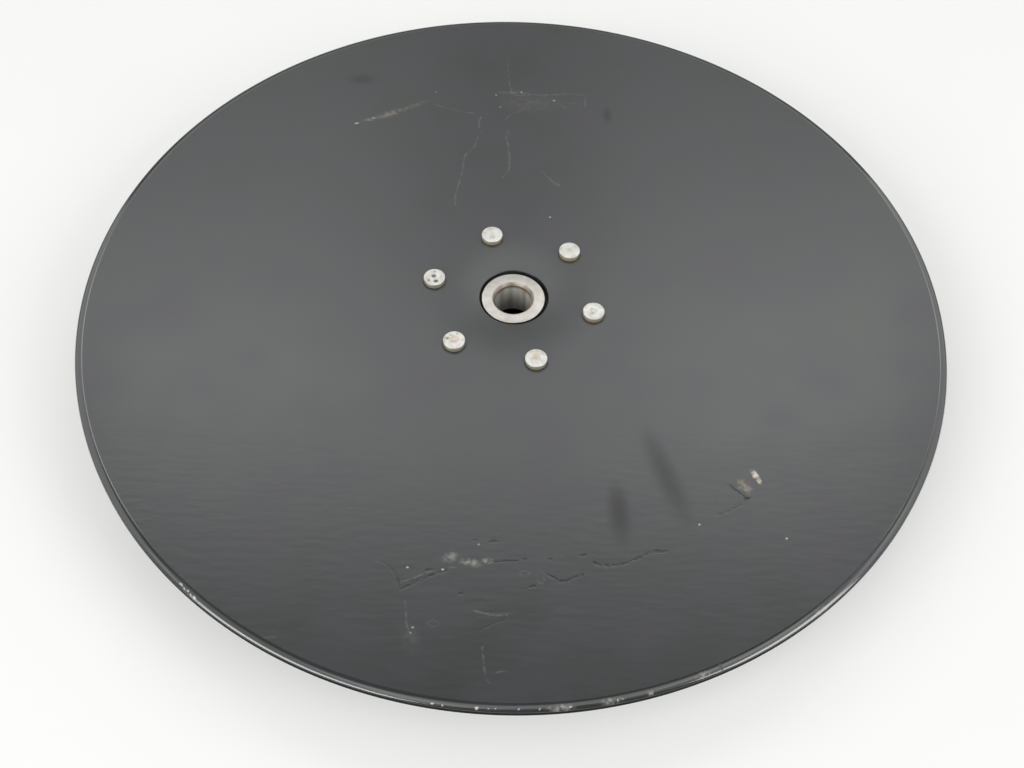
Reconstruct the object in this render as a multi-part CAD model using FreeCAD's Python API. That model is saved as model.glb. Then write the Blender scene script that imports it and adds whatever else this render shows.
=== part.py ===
"""Planter opening disc: a flat steel blade riveted to a sealed ball bearing in a pressed housing.

The disc lies on its hub. +Z is the bearing axis and points out of the blade's flat inner face,
and z = 0 is the surface that the dust cap rests on. All sizes are in millimetres.
"""

import FreeCAD
import Part
import math
import os

# Blade
BLADE_DIAMETER = 381.0
BLADE_THICKNESS = 4.0
BLADE_HOLE_GAP = 1.25

# Rolled edge of the blade's flat face, a gentle arc that runs into a tight nose
ROLL_RADIUS = 5.0
ROLL_ANGLE = 30.0
NOSE_RADIUS = 1.3
EDGE_LAND = 0.4

# Ground bevel on the hub side of the blade
BEVEL_WIDTH = 14.0
BEVEL_BLEND = 12.0

# Rivets that clamp the housing to the blade
RIVET_COUNT = 6
RIVET_CIRCLE_RADIUS = 36.5
RIVET_START_ANGLE = 45.5
RIVET_HOLE_RADIUS = 3.2
RIVET_HOLE_CLEARANCE = 0.05
RIVET_HEAD_RADIUS = 4.8
RIVET_HEAD_HEIGHT = 2.2
RIVET_HEAD_CORNER = 0.5
RIVET_DIMPLE_RADIUS = 1.75
RIVET_DIMPLE_DEPTH = 0.35
RIVET_BUTTON_RADIUS = 6.0
RIVET_BUTTON_HEIGHT = 3.2

# Bearing rings
BORE_RADIUS = 8.128
BORE_CHAMFER = 1.2
INNER_EDGE_CHAMFER = 0.4
INNER_EXTENSION = 3.175
OUTER_RING_RADIUS = 22.6125
OUTER_RING_WIDTH = 15.494
OUTER_RING_CHAMFER = 0.9

# Balls and raceways
BALL_COUNT = 8
BALL_START_ANGLE = 22.5
BALL_DIAMETER = 7.938
RACEWAY_CONFORMITY = 0.52
RACEWAY_CLEARANCE = 0.02
OUTER_RACEWAY_WALL = 1.874
OUTER_GROOVE_DEPTH = 1.54
INNER_GROOVE_DEPTH = 1.29

# Riveted ribbon cage
CAGE_SHEET = 0.7
CAGE_WIDTH = 2.9
CAGE_POCKET_CLEARANCE = 0.15
CAGE_RIVET_RADIUS = 0.55
CAGE_RIVET_HEAD_RADIUS = 1.0
CAGE_RIVET_HEAD_HEIGHT = 0.5
CAGE_RIVET_HEAD_ROUND = 0.3
CAGE_RIVET_CLEARANCE = 0.02

# Lip seals
SEAL_THICKNESS = 1.8
SEAL_RECESS = 0.25
SEAL_SEAT_DEPTH = 1.1
SEAL_LIPS = 3
SEAL_LIP_LENGTH = 1.1
SEAL_LIP_LAND = 0.2
SEAL_CLEARANCE = 0.06

# Pressed housing
HOUSING_SHEET = 3.0
FLANGE_MARGIN = 9.5
FLANGE_CORNER = 0.8
DRAW_RADIUS = 3.5
LIP_CORNER = 2.5
LIP_OVERLAP = 4.1
LIP_EDGE_ROUND = 0.3
BEARING_FIT = 0.0125

# Dust cap
CAP_HEIGHT = 8.0
CAP_WALL = 1.4
CAP_FLANGE_OVERLAP = 3.9
CAP_FLANGE_THICKNESS = 1.6
CAP_SHOULDER = 2.0
CAP_DRAFT = 1.0
CAP_CORNER = 2.2
CAP_EDGE_ROUND = 0.4
CAP_INSIDE_ROUND = 1.0
CAP_SPIGOT_DEPTH = 2.4
CAP_SPIGOT_CLEARANCE = 0.05

# Heights of the stack, from the resting surface up
HOUSING_LOW = CAP_HEIGHT
RING_LOW = HOUSING_LOW + HOUSING_SHEET
RING_HIGH = RING_LOW + OUTER_RING_WIDTH
RING_MIDDLE = (RING_LOW + RING_HIGH) / 2
BLADE_LOW = RING_HIGH
BLADE_HIGH = BLADE_LOW + BLADE_THICKNESS
FLANGE_LOW = BLADE_LOW - HOUSING_SHEET
INNER_HIGH = RING_HIGH + INNER_EXTENSION

# Radii that follow from the sizes above
BLADE_RADIUS = BLADE_DIAMETER / 2
BALL_RADIUS = BALL_DIAMETER / 2
RACEWAY_RADIUS = RACEWAY_CONFORMITY * BALL_DIAMETER
OUTER_RACEWAY_LOW = OUTER_RING_RADIUS - OUTER_RACEWAY_WALL
BALL_CIRCLE_RADIUS = OUTER_RACEWAY_LOW - RACEWAY_CLEARANCE - BALL_RADIUS
INNER_RACEWAY_LOW = BALL_CIRCLE_RADIUS - BALL_RADIUS - RACEWAY_CLEARANCE
OUTER_LAND_RADIUS = OUTER_RACEWAY_LOW - OUTER_GROOVE_DEPTH
INNER_LAND_RADIUS = INNER_RACEWAY_LOW + INNER_GROOVE_DEPTH
BLADE_HOLE_RADIUS = INNER_LAND_RADIUS + BLADE_HOLE_GAP
FLANGE_RADIUS = RIVET_CIRCLE_RADIUS + FLANGE_MARGIN
LIP_OPENING_RADIUS = OUTER_RING_RADIUS - LIP_OVERLAP
CAP_FLANGE_RADIUS = LIP_OPENING_RADIUS + CAP_FLANGE_OVERLAP
CAP_SHOULDER_RADIUS = CAP_FLANGE_RADIUS - CAP_SHOULDER
SEAL_SEAT_RADIUS = OUTER_LAND_RADIUS + SEAL_SEAT_DEPTH
SEAL_TIP_RADIUS = INNER_LAND_RADIUS + SEAL_CLEARANCE
CAGE_INNER_RADIUS = BALL_CIRCLE_RADIUS - CAGE_WIDTH / 2
CAGE_OUTER_RADIUS = BALL_CIRCLE_RADIUS + CAGE_WIDTH / 2
CAGE_POCKET_RADIUS = BALL_RADIUS + CAGE_POCKET_CLEARANCE
CAGE_CUP_RADIUS = CAGE_POCKET_RADIUS + CAGE_SHEET
SPIGOT_RADIUS = LIP_OPENING_RADIUS - CAP_SPIGOT_CLEARANCE

UP = FreeCAD.Vector(0, 0, 1)
ORIGIN = FreeCAD.Vector(0, 0, 0)


def on_section(radius, height):
    """Return the point of the half section at this radius and height."""
    return FreeCAD.Vector(radius, 0, height)


def on_circle(radius, degrees, height):
    """Return the point at this angle of a circle round the axis."""
    angle = math.radians(degrees)
    return FreeCAD.Vector(radius * math.cos(angle), radius * math.sin(angle), height)


def corner_round(before, corner, after, radius):
    """Return the start, middle and end of the arc that rounds one corner of a section."""
    towards_before = (before - corner).normalize()
    towards_after = (after - corner).normalize()
    half_turn = towards_before.getAngle(towards_after) / 2
    setback = radius / math.tan(half_turn)
    bisector = (towards_before + towards_after).normalize()
    start = corner + towards_before * setback
    end = corner + towards_after * setback
    middle = corner + bisector * (radius / math.sin(half_turn) - radius)
    return start, middle, end


def revolved(corners):
    """Spin a closed section round the axis. Each corner is a radius, a height and a rounding."""
    points = [on_section(radius, height) for radius, height, _ in corners]
    roundings = [rounding for _, _, rounding in corners]
    stops = []
    for index, point in enumerate(points):
        if roundings[index] > 0:
            following = points[(index + 1) % len(points)]
            stops.append(corner_round(points[index - 1], point, following, roundings[index]))
        else:
            stops.append((point,))
    edges = []
    for index, stop in enumerate(stops):
        if len(stop) == 3:
            edges.append(Part.Arc(*stop).toShape())
        following = stops[(index + 1) % len(stops)][0]
        if stop[-1].distanceToPoint(following) > 1e-6:
            edges.append(Part.makeLine(stop[-1], following))
    return spun(edges)


def spun(edges):
    """Spin a closed loop of section edges a full turn round the axis."""
    face = Part.Face(Part.Wire(edges))
    return face.revolve(ORIGIN, UP, 360)


def section_line(start, end):
    """Return a straight edge between two (radius, height) pairs."""
    return Part.makeLine(on_section(*start), on_section(*end))


def section_arc(centre, radius, from_degrees, to_degrees):
    """Return a section edge on a circle round centre, a (radius, height) pair."""
    points = []
    for degrees in (from_degrees, (from_degrees + to_degrees) / 2, to_degrees):
        angle = math.radians(degrees)
        points.append(on_section(centre[0] + radius * math.cos(angle), centre[1] + radius * math.sin(angle)))
    return Part.Arc(*points).toShape()


def ring(inner_radius, outer_radius, low, high):
    """Return a plain ring round the axis."""
    return revolved([
        (inner_radius, low, 0),
        (outer_radius, low, 0),
        (outer_radius, high, 0),
        (inner_radius, high, 0),
    ])


def rivet_angles():
    """Return the angles of the blade's rivets."""
    return [RIVET_START_ANGLE + 360 / RIVET_COUNT * index for index in range(RIVET_COUNT)]


def ball_angles():
    """Return the angles of the balls."""
    return [BALL_START_ANGLE + 360 / BALL_COUNT * index for index in range(BALL_COUNT)]


def cage_rivet_angles():
    """Return the angles of the cage's rivets, midway between the balls."""
    return [angle + 180 / BALL_COUNT for angle in ball_angles()]


def with_rivet_holes(shape, low, high):
    """Drill the blade's rivet circle through the shape."""
    for degrees in rivet_angles():
        foot = on_circle(RIVET_CIRCLE_RADIUS, degrees, low)
        shape = shape.cut(Part.makeCylinder(RIVET_HOLE_RADIUS, high - low, foot, UP))
    return shape


def blade():
    """Flat disc with a rolled edge on its flat face and a ground bevel on the hub side."""
    roll_centre_height = BLADE_HIGH - ROLL_RADIUS
    nose_centre_radius = BLADE_RADIUS - NOSE_RADIUS
    lead = (ROLL_RADIUS - NOSE_RADIUS) * math.sin(math.radians(ROLL_ANGLE))
    fall = (ROLL_RADIUS - NOSE_RADIUS) * math.cos(math.radians(ROLL_ANGLE))
    roll_centre = (nose_centre_radius - lead, roll_centre_height)
    nose_centre = (nose_centre_radius, roll_centre_height + fall)
    edge_low = nose_centre[1] - EDGE_LAND
    bevel_slope = (edge_low - BLADE_LOW) / BEVEL_WIDTH
    bevel_start = BLADE_RADIUS - BEVEL_WIDTH
    setback = BEVEL_BLEND * math.tan(math.atan(bevel_slope) / 2)
    blend_turn = math.degrees(math.atan(bevel_slope))
    blend_centre = (bevel_start - setback, BLADE_LOW + BEVEL_BLEND)
    flat_end = (bevel_start - setback, BLADE_LOW)
    bevel_low = (
        blend_centre[0] + BEVEL_BLEND * math.sin(math.radians(blend_turn)),
        blend_centre[1] - BEVEL_BLEND * math.cos(math.radians(blend_turn)),
    )
    edges = [
        section_line((BLADE_HOLE_RADIUS, BLADE_LOW), flat_end),
        section_arc(blend_centre, BEVEL_BLEND, -90, -90 + blend_turn),
        section_line(bevel_low, (BLADE_RADIUS, edge_low)),
        section_line((BLADE_RADIUS, edge_low), (BLADE_RADIUS, nose_centre[1])),
        section_arc(nose_centre, NOSE_RADIUS, 0, 90 - ROLL_ANGLE),
        section_arc(roll_centre, ROLL_RADIUS, 90 - ROLL_ANGLE, 90),
        section_line((roll_centre[0], BLADE_HIGH), (BLADE_HOLE_RADIUS, BLADE_HIGH)),
        section_line((BLADE_HOLE_RADIUS, BLADE_HIGH), (BLADE_HOLE_RADIUS, BLADE_LOW)),
    ]
    return with_rivet_holes(spun(edges), BLADE_LOW, BLADE_HIGH)


def bearing_housing():
    """Pressed cup that holds the bearing, with a flat flange under the blade and a turned-in lip."""
    seat_radius = OUTER_RING_RADIUS + BEARING_FIT
    wall_radius = seat_radius + HOUSING_SHEET
    cup = revolved([
        (LIP_OPENING_RADIUS, HOUSING_LOW, LIP_EDGE_ROUND),
        (wall_radius, HOUSING_LOW, LIP_CORNER),
        (wall_radius, FLANGE_LOW, DRAW_RADIUS),
        (FLANGE_RADIUS, FLANGE_LOW, FLANGE_CORNER),
        (FLANGE_RADIUS, BLADE_LOW, FLANGE_CORNER),
        (seat_radius, BLADE_LOW, OUTER_RING_CHAMFER / 2),
        (seat_radius, RING_LOW, OUTER_RING_CHAMFER / 2),
        (LIP_OPENING_RADIUS, RING_LOW, LIP_EDGE_ROUND),
    ])
    return with_rivet_holes(cup, FLANGE_LOW, BLADE_LOW)


def rivet(degrees):
    """Rivet with a flat, dimpled head on the blade's face and a button head on the flange."""
    shank = RIVET_HOLE_RADIUS - RIVET_HOLE_CLEARANCE
    head_top = BLADE_HIGH + RIVET_HEAD_HEIGHT
    button_radius = (RIVET_BUTTON_RADIUS ** 2 + RIVET_BUTTON_HEIGHT ** 2) / (2 * RIVET_BUTTON_HEIGHT)
    button_centre = (0, FLANGE_LOW - RIVET_BUTTON_HEIGHT + button_radius)
    button_edge = math.degrees(math.asin(RIVET_BUTTON_RADIUS / button_radius))
    dimple_radius = (RIVET_DIMPLE_RADIUS ** 2 + RIVET_DIMPLE_DEPTH ** 2) / (2 * RIVET_DIMPLE_DEPTH)
    dimple_centre = (0, head_top - RIVET_DIMPLE_DEPTH + dimple_radius)
    dimple_edge = math.degrees(math.asin(RIVET_DIMPLE_RADIUS / dimple_radius))
    corner_centre = (RIVET_HEAD_RADIUS - RIVET_HEAD_CORNER, head_top - RIVET_HEAD_CORNER)
    body = spun([
        section_arc(button_centre, button_radius, -90, -90 + button_edge),
        section_line((RIVET_BUTTON_RADIUS, FLANGE_LOW), (shank, FLANGE_LOW)),
        section_line((shank, FLANGE_LOW), (shank, BLADE_HIGH)),
        section_line((shank, BLADE_HIGH), (RIVET_HEAD_RADIUS, BLADE_HIGH)),
        section_line((RIVET_HEAD_RADIUS, BLADE_HIGH), (RIVET_HEAD_RADIUS, corner_centre[1])),
        section_arc(corner_centre, RIVET_HEAD_CORNER, 0, 90),
        section_line((corner_centre[0], head_top), (RIVET_DIMPLE_RADIUS, head_top)),
        section_arc(dimple_centre, dimple_radius, -90 + dimple_edge, -90),
        section_line((0, head_top - RIVET_DIMPLE_DEPTH), (0, FLANGE_LOW - RIVET_BUTTON_HEIGHT)),
    ])
    body.translate(on_circle(RIVET_CIRCLE_RADIUS, degrees, 0))
    return body


def raceway(centre_radius, land_radius, facing):
    """Return the groove's arc from its low edge to its high edge; facing is 1 if it opens outward."""
    reach = math.degrees(math.acos(abs(land_radius - centre_radius) / RACEWAY_RADIUS))
    if facing > 0:
        return section_arc((centre_radius, RING_MIDDLE), RACEWAY_RADIUS, 180 + reach, 180 - reach)
    return section_arc((centre_radius, RING_MIDDLE), RACEWAY_RADIUS, -reach, reach)


def groove_half_height(centre_radius, land_radius):
    """Return half the height of the groove where it meets its land."""
    return math.sqrt(RACEWAY_RADIUS ** 2 - (land_radius - centre_radius) ** 2)


def inner_ring():
    """Inner ring with its raceway, standing out of the outer ring towards the blade's face."""
    land = INNER_LAND_RADIUS
    edge = INNER_EDGE_CHAMFER
    centre_radius = INNER_RACEWAY_LOW + RACEWAY_RADIUS
    half_groove = groove_half_height(centre_radius, land)
    corners_low = [
        (land, RING_MIDDLE - half_groove),
        (land, RING_LOW + edge),
        (land - edge, RING_LOW),
        (BORE_RADIUS + BORE_CHAMFER, RING_LOW),
        (BORE_RADIUS, RING_LOW + BORE_CHAMFER),
    ]
    corners_high = [
        (BORE_RADIUS, INNER_HIGH - BORE_CHAMFER),
        (BORE_RADIUS + BORE_CHAMFER, INNER_HIGH),
        (land - edge, INNER_HIGH),
        (land, INNER_HIGH - edge),
        (land, RING_MIDDLE + half_groove),
    ]
    corners = corners_low + corners_high
    edges = [section_line(start, end) for start, end in zip(corners, corners[1:])]
    return spun(edges + [raceway(centre_radius, land, 1)])


def outer_ring():
    """Outer ring with its raceway and a seal seat at each side."""
    land = OUTER_LAND_RADIUS
    chamfer = OUTER_RING_CHAMFER
    seat_depth = SEAL_THICKNESS + SEAL_RECESS
    centre_radius = OUTER_RACEWAY_LOW - RACEWAY_RADIUS
    half_groove = groove_half_height(centre_radius, land)
    corners = [
        (land, RING_MIDDLE + half_groove),
        (land, RING_HIGH - seat_depth),
        (SEAL_SEAT_RADIUS, RING_HIGH - seat_depth),
        (SEAL_SEAT_RADIUS, RING_HIGH),
        (OUTER_RING_RADIUS - chamfer, RING_HIGH),
        (OUTER_RING_RADIUS, RING_HIGH - chamfer),
        (OUTER_RING_RADIUS, RING_LOW + chamfer),
        (OUTER_RING_RADIUS - chamfer, RING_LOW),
        (SEAL_SEAT_RADIUS, RING_LOW),
        (SEAL_SEAT_RADIUS, RING_LOW + seat_depth),
        (land, RING_LOW + seat_depth),
        (land, RING_MIDDLE - half_groove),
    ]
    edges = [section_line(start, end) for start, end in zip(corners, corners[1:])]
    return spun(edges + [raceway(centre_radius, land, -1)])


def seal(side):
    """Lip seal pressed into the outer ring; side is 1 for the blade's side and -1 for the cap's."""
    face = OUTER_RING_WIDTH / 2 - SEAL_RECESS
    back = face - SEAL_THICKNESS
    pitch = SEAL_THICKNESS / SEAL_LIPS
    root = SEAL_TIP_RADIUS + SEAL_LIP_LENGTH
    corners = [(SEAL_SEAT_RADIUS, back), (SEAL_SEAT_RADIUS, face)]
    for lip in range(SEAL_LIPS):
        tip = face - (lip + 0.5) * pitch
        corners += [
            (root, face - lip * pitch),
            (SEAL_TIP_RADIUS, tip + SEAL_LIP_LAND / 2),
            (SEAL_TIP_RADIUS, tip - SEAL_LIP_LAND / 2),
        ]
    corners.append((root, back))
    return revolved([(radius, RING_MIDDLE + side * height, 0) for radius, height in corners])


def ball(degrees):
    """One ball of the bearing."""
    return Part.makeSphere(BALL_RADIUS, on_circle(BALL_CIRCLE_RADIUS, degrees, RING_MIDDLE))


def cage_half(side):
    """One half of the ribbon cage: a flat strip that is pressed out round each ball."""
    low, high = sorted((RING_MIDDLE, RING_MIDDLE + side * CAGE_SHEET))
    half = ring(CAGE_INNER_RADIUS, CAGE_OUTER_RADIUS, low, high)
    low, high = sorted((RING_MIDDLE, RING_MIDDLE + side * (CAGE_CUP_RADIUS + CAGE_SHEET)))
    band = ring(CAGE_INNER_RADIUS, CAGE_OUTER_RADIUS, low, high)
    centres = [on_circle(BALL_CIRCLE_RADIUS, degrees, RING_MIDDLE) for degrees in ball_angles()]
    cups = [Part.makeSphere(CAGE_CUP_RADIUS, centre).common(band) for centre in centres]
    pockets = [Part.makeSphere(CAGE_POCKET_RADIUS, centre) for centre in centres]
    half = half.fuse(cups).cut(pockets)
    holes = []
    for degrees in cage_rivet_angles():
        foot = on_circle(BALL_CIRCLE_RADIUS, degrees, RING_MIDDLE - CAGE_SHEET)
        holes.append(Part.makeCylinder(CAGE_RIVET_RADIUS, 2 * CAGE_SHEET, foot, UP))
    return half.cut(holes).removeSplitter()


def cage_rivets():
    """The small rivets that join the two halves of the cage, with a low head at each end."""
    shank = CAGE_RIVET_RADIUS - CAGE_RIVET_CLEARANCE
    low = RING_MIDDLE - CAGE_SHEET
    high = RING_MIDDLE + CAGE_SHEET
    rivets = []
    for degrees in cage_rivet_angles():
        body = revolved([
            (0, low - CAGE_RIVET_HEAD_HEIGHT, 0),
            (CAGE_RIVET_HEAD_RADIUS, low - CAGE_RIVET_HEAD_HEIGHT, CAGE_RIVET_HEAD_ROUND),
            (CAGE_RIVET_HEAD_RADIUS, low, 0),
            (shank, low, 0),
            (shank, high, 0),
            (CAGE_RIVET_HEAD_RADIUS, high, 0),
            (CAGE_RIVET_HEAD_RADIUS, high + CAGE_RIVET_HEAD_HEIGHT, CAGE_RIVET_HEAD_ROUND),
            (0, high + CAGE_RIVET_HEAD_HEIGHT, 0),
        ])
        body.translate(on_circle(BALL_CIRCLE_RADIUS, degrees, 0))
        rivets.append(body)
    return Part.makeCompound(rivets)


def dust_cap():
    """Closed cap whose spigot presses into the housing's lip and whose flat end the disc rests on."""
    end_radius = CAP_SHOULDER_RADIUS - CAP_DRAFT
    flange_low = CAP_HEIGHT - CAP_FLANGE_THICKNESS
    inside = SPIGOT_RADIUS - CAP_WALL
    return revolved([
        (0, 0, 0),
        (end_radius, 0, CAP_CORNER),
        (CAP_SHOULDER_RADIUS, flange_low, CAP_EDGE_ROUND),
        (CAP_FLANGE_RADIUS, flange_low, CAP_EDGE_ROUND),
        (CAP_FLANGE_RADIUS, CAP_HEIGHT, CAP_EDGE_ROUND),
        (SPIGOT_RADIUS, CAP_HEIGHT, 0),
        (SPIGOT_RADIUS, CAP_HEIGHT + CAP_SPIGOT_DEPTH, CAP_EDGE_ROUND),
        (inside, CAP_HEIGHT + CAP_SPIGOT_DEPTH, 0),
        (inside, CAP_WALL, CAP_INSIDE_ROUND),
        (0, CAP_WALL, 0),
    ])


def sub_parts():
    """Return every solid of the assembly under its own name."""
    parts = {
        "blade": blade(),
        "bearing_housing": bearing_housing(),
        "dust_cap": dust_cap(),
        "inner_ring": inner_ring(),
        "outer_ring": outer_ring(),
        "seal_upper": seal(1),
        "seal_lower": seal(-1),
        "cage_upper": cage_half(1),
        "cage_lower": cage_half(-1),
        "cage_rivets": cage_rivets(),
    }
    for number, degrees in enumerate(rivet_angles(), start=1):
        parts[f"rivet_{number}"] = rivet(degrees)
    for number, degrees in enumerate(ball_angles(), start=1):
        parts[f"ball_{number}"] = ball(degrees)
    return parts


def main():
    """Write one STEP file for each sub-part."""
    os.makedirs("parts", exist_ok=True)
    for name, shape in sub_parts().items():
        shape.exportStep(f"parts/{name}.step")
        print(f"{name}: {len(shape.Solids)} solid, {shape.Volume / 1000:.3f} cm3, valid {shape.isValid()}")


if __name__ == "__main__":
    main()
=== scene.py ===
"""Planter opening disc, dressed for a studio picture.

The blade lies on its hub on a pale table. Each sub-assembly of the disc is a class that builds its
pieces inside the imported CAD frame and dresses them, and main() builds the classes in order. Sizes
of the pieces are in millimetres and are turned to metres where a mesh or a pattern is made.
"""

import logging
import math
from collections.abc import Callable, Sequence
from dataclasses import dataclass
from enum import Enum
from typing import Any

import bpy
from mathutils import Matrix, Vector


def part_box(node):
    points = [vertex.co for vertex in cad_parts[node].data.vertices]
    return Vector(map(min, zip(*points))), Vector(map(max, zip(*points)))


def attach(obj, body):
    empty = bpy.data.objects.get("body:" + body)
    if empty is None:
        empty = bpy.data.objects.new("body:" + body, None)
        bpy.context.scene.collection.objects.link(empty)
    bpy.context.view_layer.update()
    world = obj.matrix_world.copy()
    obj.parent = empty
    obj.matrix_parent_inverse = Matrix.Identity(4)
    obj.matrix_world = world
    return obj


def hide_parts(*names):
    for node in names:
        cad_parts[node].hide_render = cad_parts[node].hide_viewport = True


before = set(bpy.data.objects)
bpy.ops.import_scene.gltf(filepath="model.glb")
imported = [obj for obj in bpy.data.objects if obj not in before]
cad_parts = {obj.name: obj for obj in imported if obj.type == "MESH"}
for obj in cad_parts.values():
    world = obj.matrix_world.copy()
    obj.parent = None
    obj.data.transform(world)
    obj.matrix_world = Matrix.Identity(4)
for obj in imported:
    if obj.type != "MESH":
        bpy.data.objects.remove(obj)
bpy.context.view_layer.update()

MM = 0.001
AXLE_BODY = "axle_side"
DISC_BODY = "disc"
SMOOTH_ANGLE = math.radians(30)

# A noise pattern runs mostly between these two values
NOISE_LOW = 0.3
NOISE_HIGH = 0.7

# The share of a mark's half width, or of its edge, that is at full strength
STROKE_CORE = 0.35
HOLLOW_CORE = 0.3

# Multiplied with a point, this drops its height
FLAT = (1.0, 1.0, 0.0)

# The least width that a straight stroke's path is measured against
LEAST_SPAN_MM = 0.01

log = logging.getLogger("opening_disc")

Section = list[tuple[float, float]]
Tree = bpy.types.NodeTree
Socket = bpy.types.NodeSocket
Piece = bpy.types.Object
Node = bpy.types.Node
Material = bpy.types.Material
Inputs = dict[str | int, Any]


class Ends(Enum):
    """How a turned section is closed."""

    BRIDGED = "the last point joins the first"
    POINTED = "both ends run in to the axis"


class Along(Enum):
    """The axis that a drawn mark follows."""

    X = 0
    Y = 1


def linear(hex_colour: str) -> tuple[float, float, float, float]:
    """Turn an sRGB hex colour into linear red, green, blue and alpha.

    Args:
        hex_colour: The colour as "#rrggbb".

    Returns:
        The linear colour with an alpha of 1.
    """
    channels = []
    for start in (1, 3, 5):
        value = int(hex_colour[start:start + 2], 16) / 255
        channels.append(value / 12.92 if value <= 0.04045 else ((value + 0.055) / 1.055) ** 2.4)
    return channels[0], channels[1], channels[2], 1.0


def add_node(tree: Tree, kind: str, inputs: Inputs | None = None, **settings: Any) -> Node:
    """Add a shader node with its settings and links.

    Args:
        tree: The node tree that gets the node.
        kind: Blender's name of the node type.
        inputs: A value or another node's output for each input, by name or number.
        settings: The node's own properties.

    Returns:
        The new node.
    """
    node = tree.nodes.new(kind)
    for name, value in settings.items():
        setattr(node, name, value)
    for key, value in (inputs or {}).items():
        if isinstance(value, Socket):
            tree.links.new(value, node.inputs[key])
        else:
            node.inputs[key].default_value = value
    return node


def arc(centre: tuple[float, float], radius: float, start: float, end: float, steps: int) -> Section:
    """Return points on an arc of a half section.

    Args:
        centre: The arc's centre as a radius and a height.
        radius: The arc's own radius.
        start: The angle of the first point, in degrees from the outward direction.
        end: The angle of the last point.
        steps: The number of straight pieces that the arc is divided into.

    Returns:
        The points from start to end.
    """
    points = []
    for step in range(steps + 1):
        angle = math.radians(start + (end - start) * step / steps)
        points.append((centre[0] + radius * math.cos(angle), centre[1] + radius * math.sin(angle)))
    return points


def rounded(corners: list[tuple[float, float, float]], steps: int) -> Section:
    """Round the corners of a closed half section.

    Args:
        corners: A radius, a height and a rounding for each corner, in order.
        steps: The number of straight pieces in each rounding.

    Returns:
        The section's points.
    """
    points = []
    for index, (radius, height, rounding) in enumerate(corners):
        corner = Vector((radius, height))
        before = (Vector(corners[index - 1][:2]) - corner).normalized()
        after = (Vector(corners[(index + 1) % len(corners)][:2]) - corner).normalized()
        if rounding == 0:
            points.append((radius, height))
            continue
        half = before.angle(after) / 2
        centre = corner + (before + after).normalized() * rounding / math.sin(half)
        first = corner + before * rounding / math.tan(half) - centre
        last = corner + after * rounding / math.tan(half) - centre
        start = math.degrees(math.atan2(first.y, first.x))
        sweep = math.degrees(math.atan2(last.y, last.x)) - start
        sweep = (sweep + 180) % 360 - 180
        points += arc((centre.x, centre.y), rounding, start, start + sweep, steps)
    return points


def turn(name: str, section: Section, segments: int, ends: Ends) -> Piece:
    """Turn a half section round the Z axis.

    A circle is added at the section's first point, and is extruded and resized from point to point.

    Args:
        name: The piece's name.
        section: The radius and height of each point, in millimetres.
        segments: The number of faces round the axis.
        ends: How the section is closed.

    Returns:
        The turned piece, with its origin at the frame's origin.
    """
    bpy.ops.object.select_all(action="DESELECT")
    radius, height = section[0]
    bpy.ops.mesh.primitive_circle_add(
        vertices=segments, radius=radius * MM, fill_type="NOTHING", location=(0, 0, height * MM)
    )
    piece = bpy.context.active_object
    piece.name = name
    bpy.ops.object.mode_set(mode="EDIT")
    bpy.ops.mesh.select_all(action="SELECT")
    for next_radius, next_height in section[1:]:
        rise = (0, 0, (next_height - height) * MM)
        growth = next_radius / radius
        bpy.ops.mesh.extrude_region_move(TRANSFORM_OT_translate={"value": rise})
        bpy.ops.transform.resize(value=(growth, growth, 1), center_override=(0, 0, 0))
        radius, height = next_radius, next_height
    bpy.ops.mesh.select_all(action="DESELECT")
    bpy.ops.mesh.select_non_manifold()
    if ends is Ends.BRIDGED:
        bpy.ops.mesh.bridge_edge_loops()
    else:
        bpy.ops.mesh.extrude_region_move()
        bpy.ops.mesh.merge(type="COLLAPSE")
    bpy.ops.mesh.select_all(action="SELECT")
    bpy.ops.mesh.normals_make_consistent(inside=False)
    bpy.ops.object.mode_set(mode="OBJECT")
    bpy.ops.object.transform_apply(location=True, rotation=True, scale=True)
    bpy.ops.object.shade_smooth_by_angle(angle=SMOOTH_ANGLE)
    return piece


def select_only(piece: Piece) -> None:
    """Select one piece alone and make it the active one.

    Args:
        piece: The piece.
    """
    bpy.ops.object.select_all(action="DESELECT")
    piece.select_set(True)
    bpy.context.view_layer.objects.active = piece


def move_mesh(piece: Piece, shift: tuple[float, float, float]) -> None:
    """Move a piece's mesh inside its object.

    Args:
        piece: The piece.
        shift: The move, in millimetres.
    """
    select_only(piece)
    bpy.ops.object.mode_set(mode="EDIT")
    bpy.ops.mesh.select_all(action="SELECT")
    bpy.ops.transform.translate(value=tuple(value * MM for value in shift))
    bpy.ops.object.mode_set(mode="OBJECT")


def copy_of(piece: Piece, name: str) -> Piece:
    """Copy a piece with a mesh of its own.

    Args:
        piece: The piece to copy.
        name: The copy's name.

    Returns:
        The copy.
    """
    select_only(piece)
    bpy.ops.object.duplicate()
    copy = bpy.context.active_object
    copy.name = name
    return copy


def seat(piece: Piece, material: Material, slot: str, body: str, *nodes: str) -> None:
    """Dress a new piece and put it in place of its CAD nodes.

    Args:
        piece: The piece.
        material: Its finish.
        slot: The record's material slot for that finish; not used.
        body: The CAD body that the piece rides on.
        nodes: The CAD nodes that the piece stands for.
    """
    piece.data.materials.append(material)
    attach(piece, body)
    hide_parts(*nodes)
    log.info("%s: %d faces on %s", piece.name, len(piece.data.polygons), body)


def dress_node(name: str, material: Material) -> None:
    """Give a carried-over CAD node its finish.

    Args:
        name: The node's name.
        material: Its finish.
    """
    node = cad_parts[name]
    for place in node.material_slots:
        place.material = material
    log.info("%s: CAD shape with %s", name, material.name)


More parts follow.
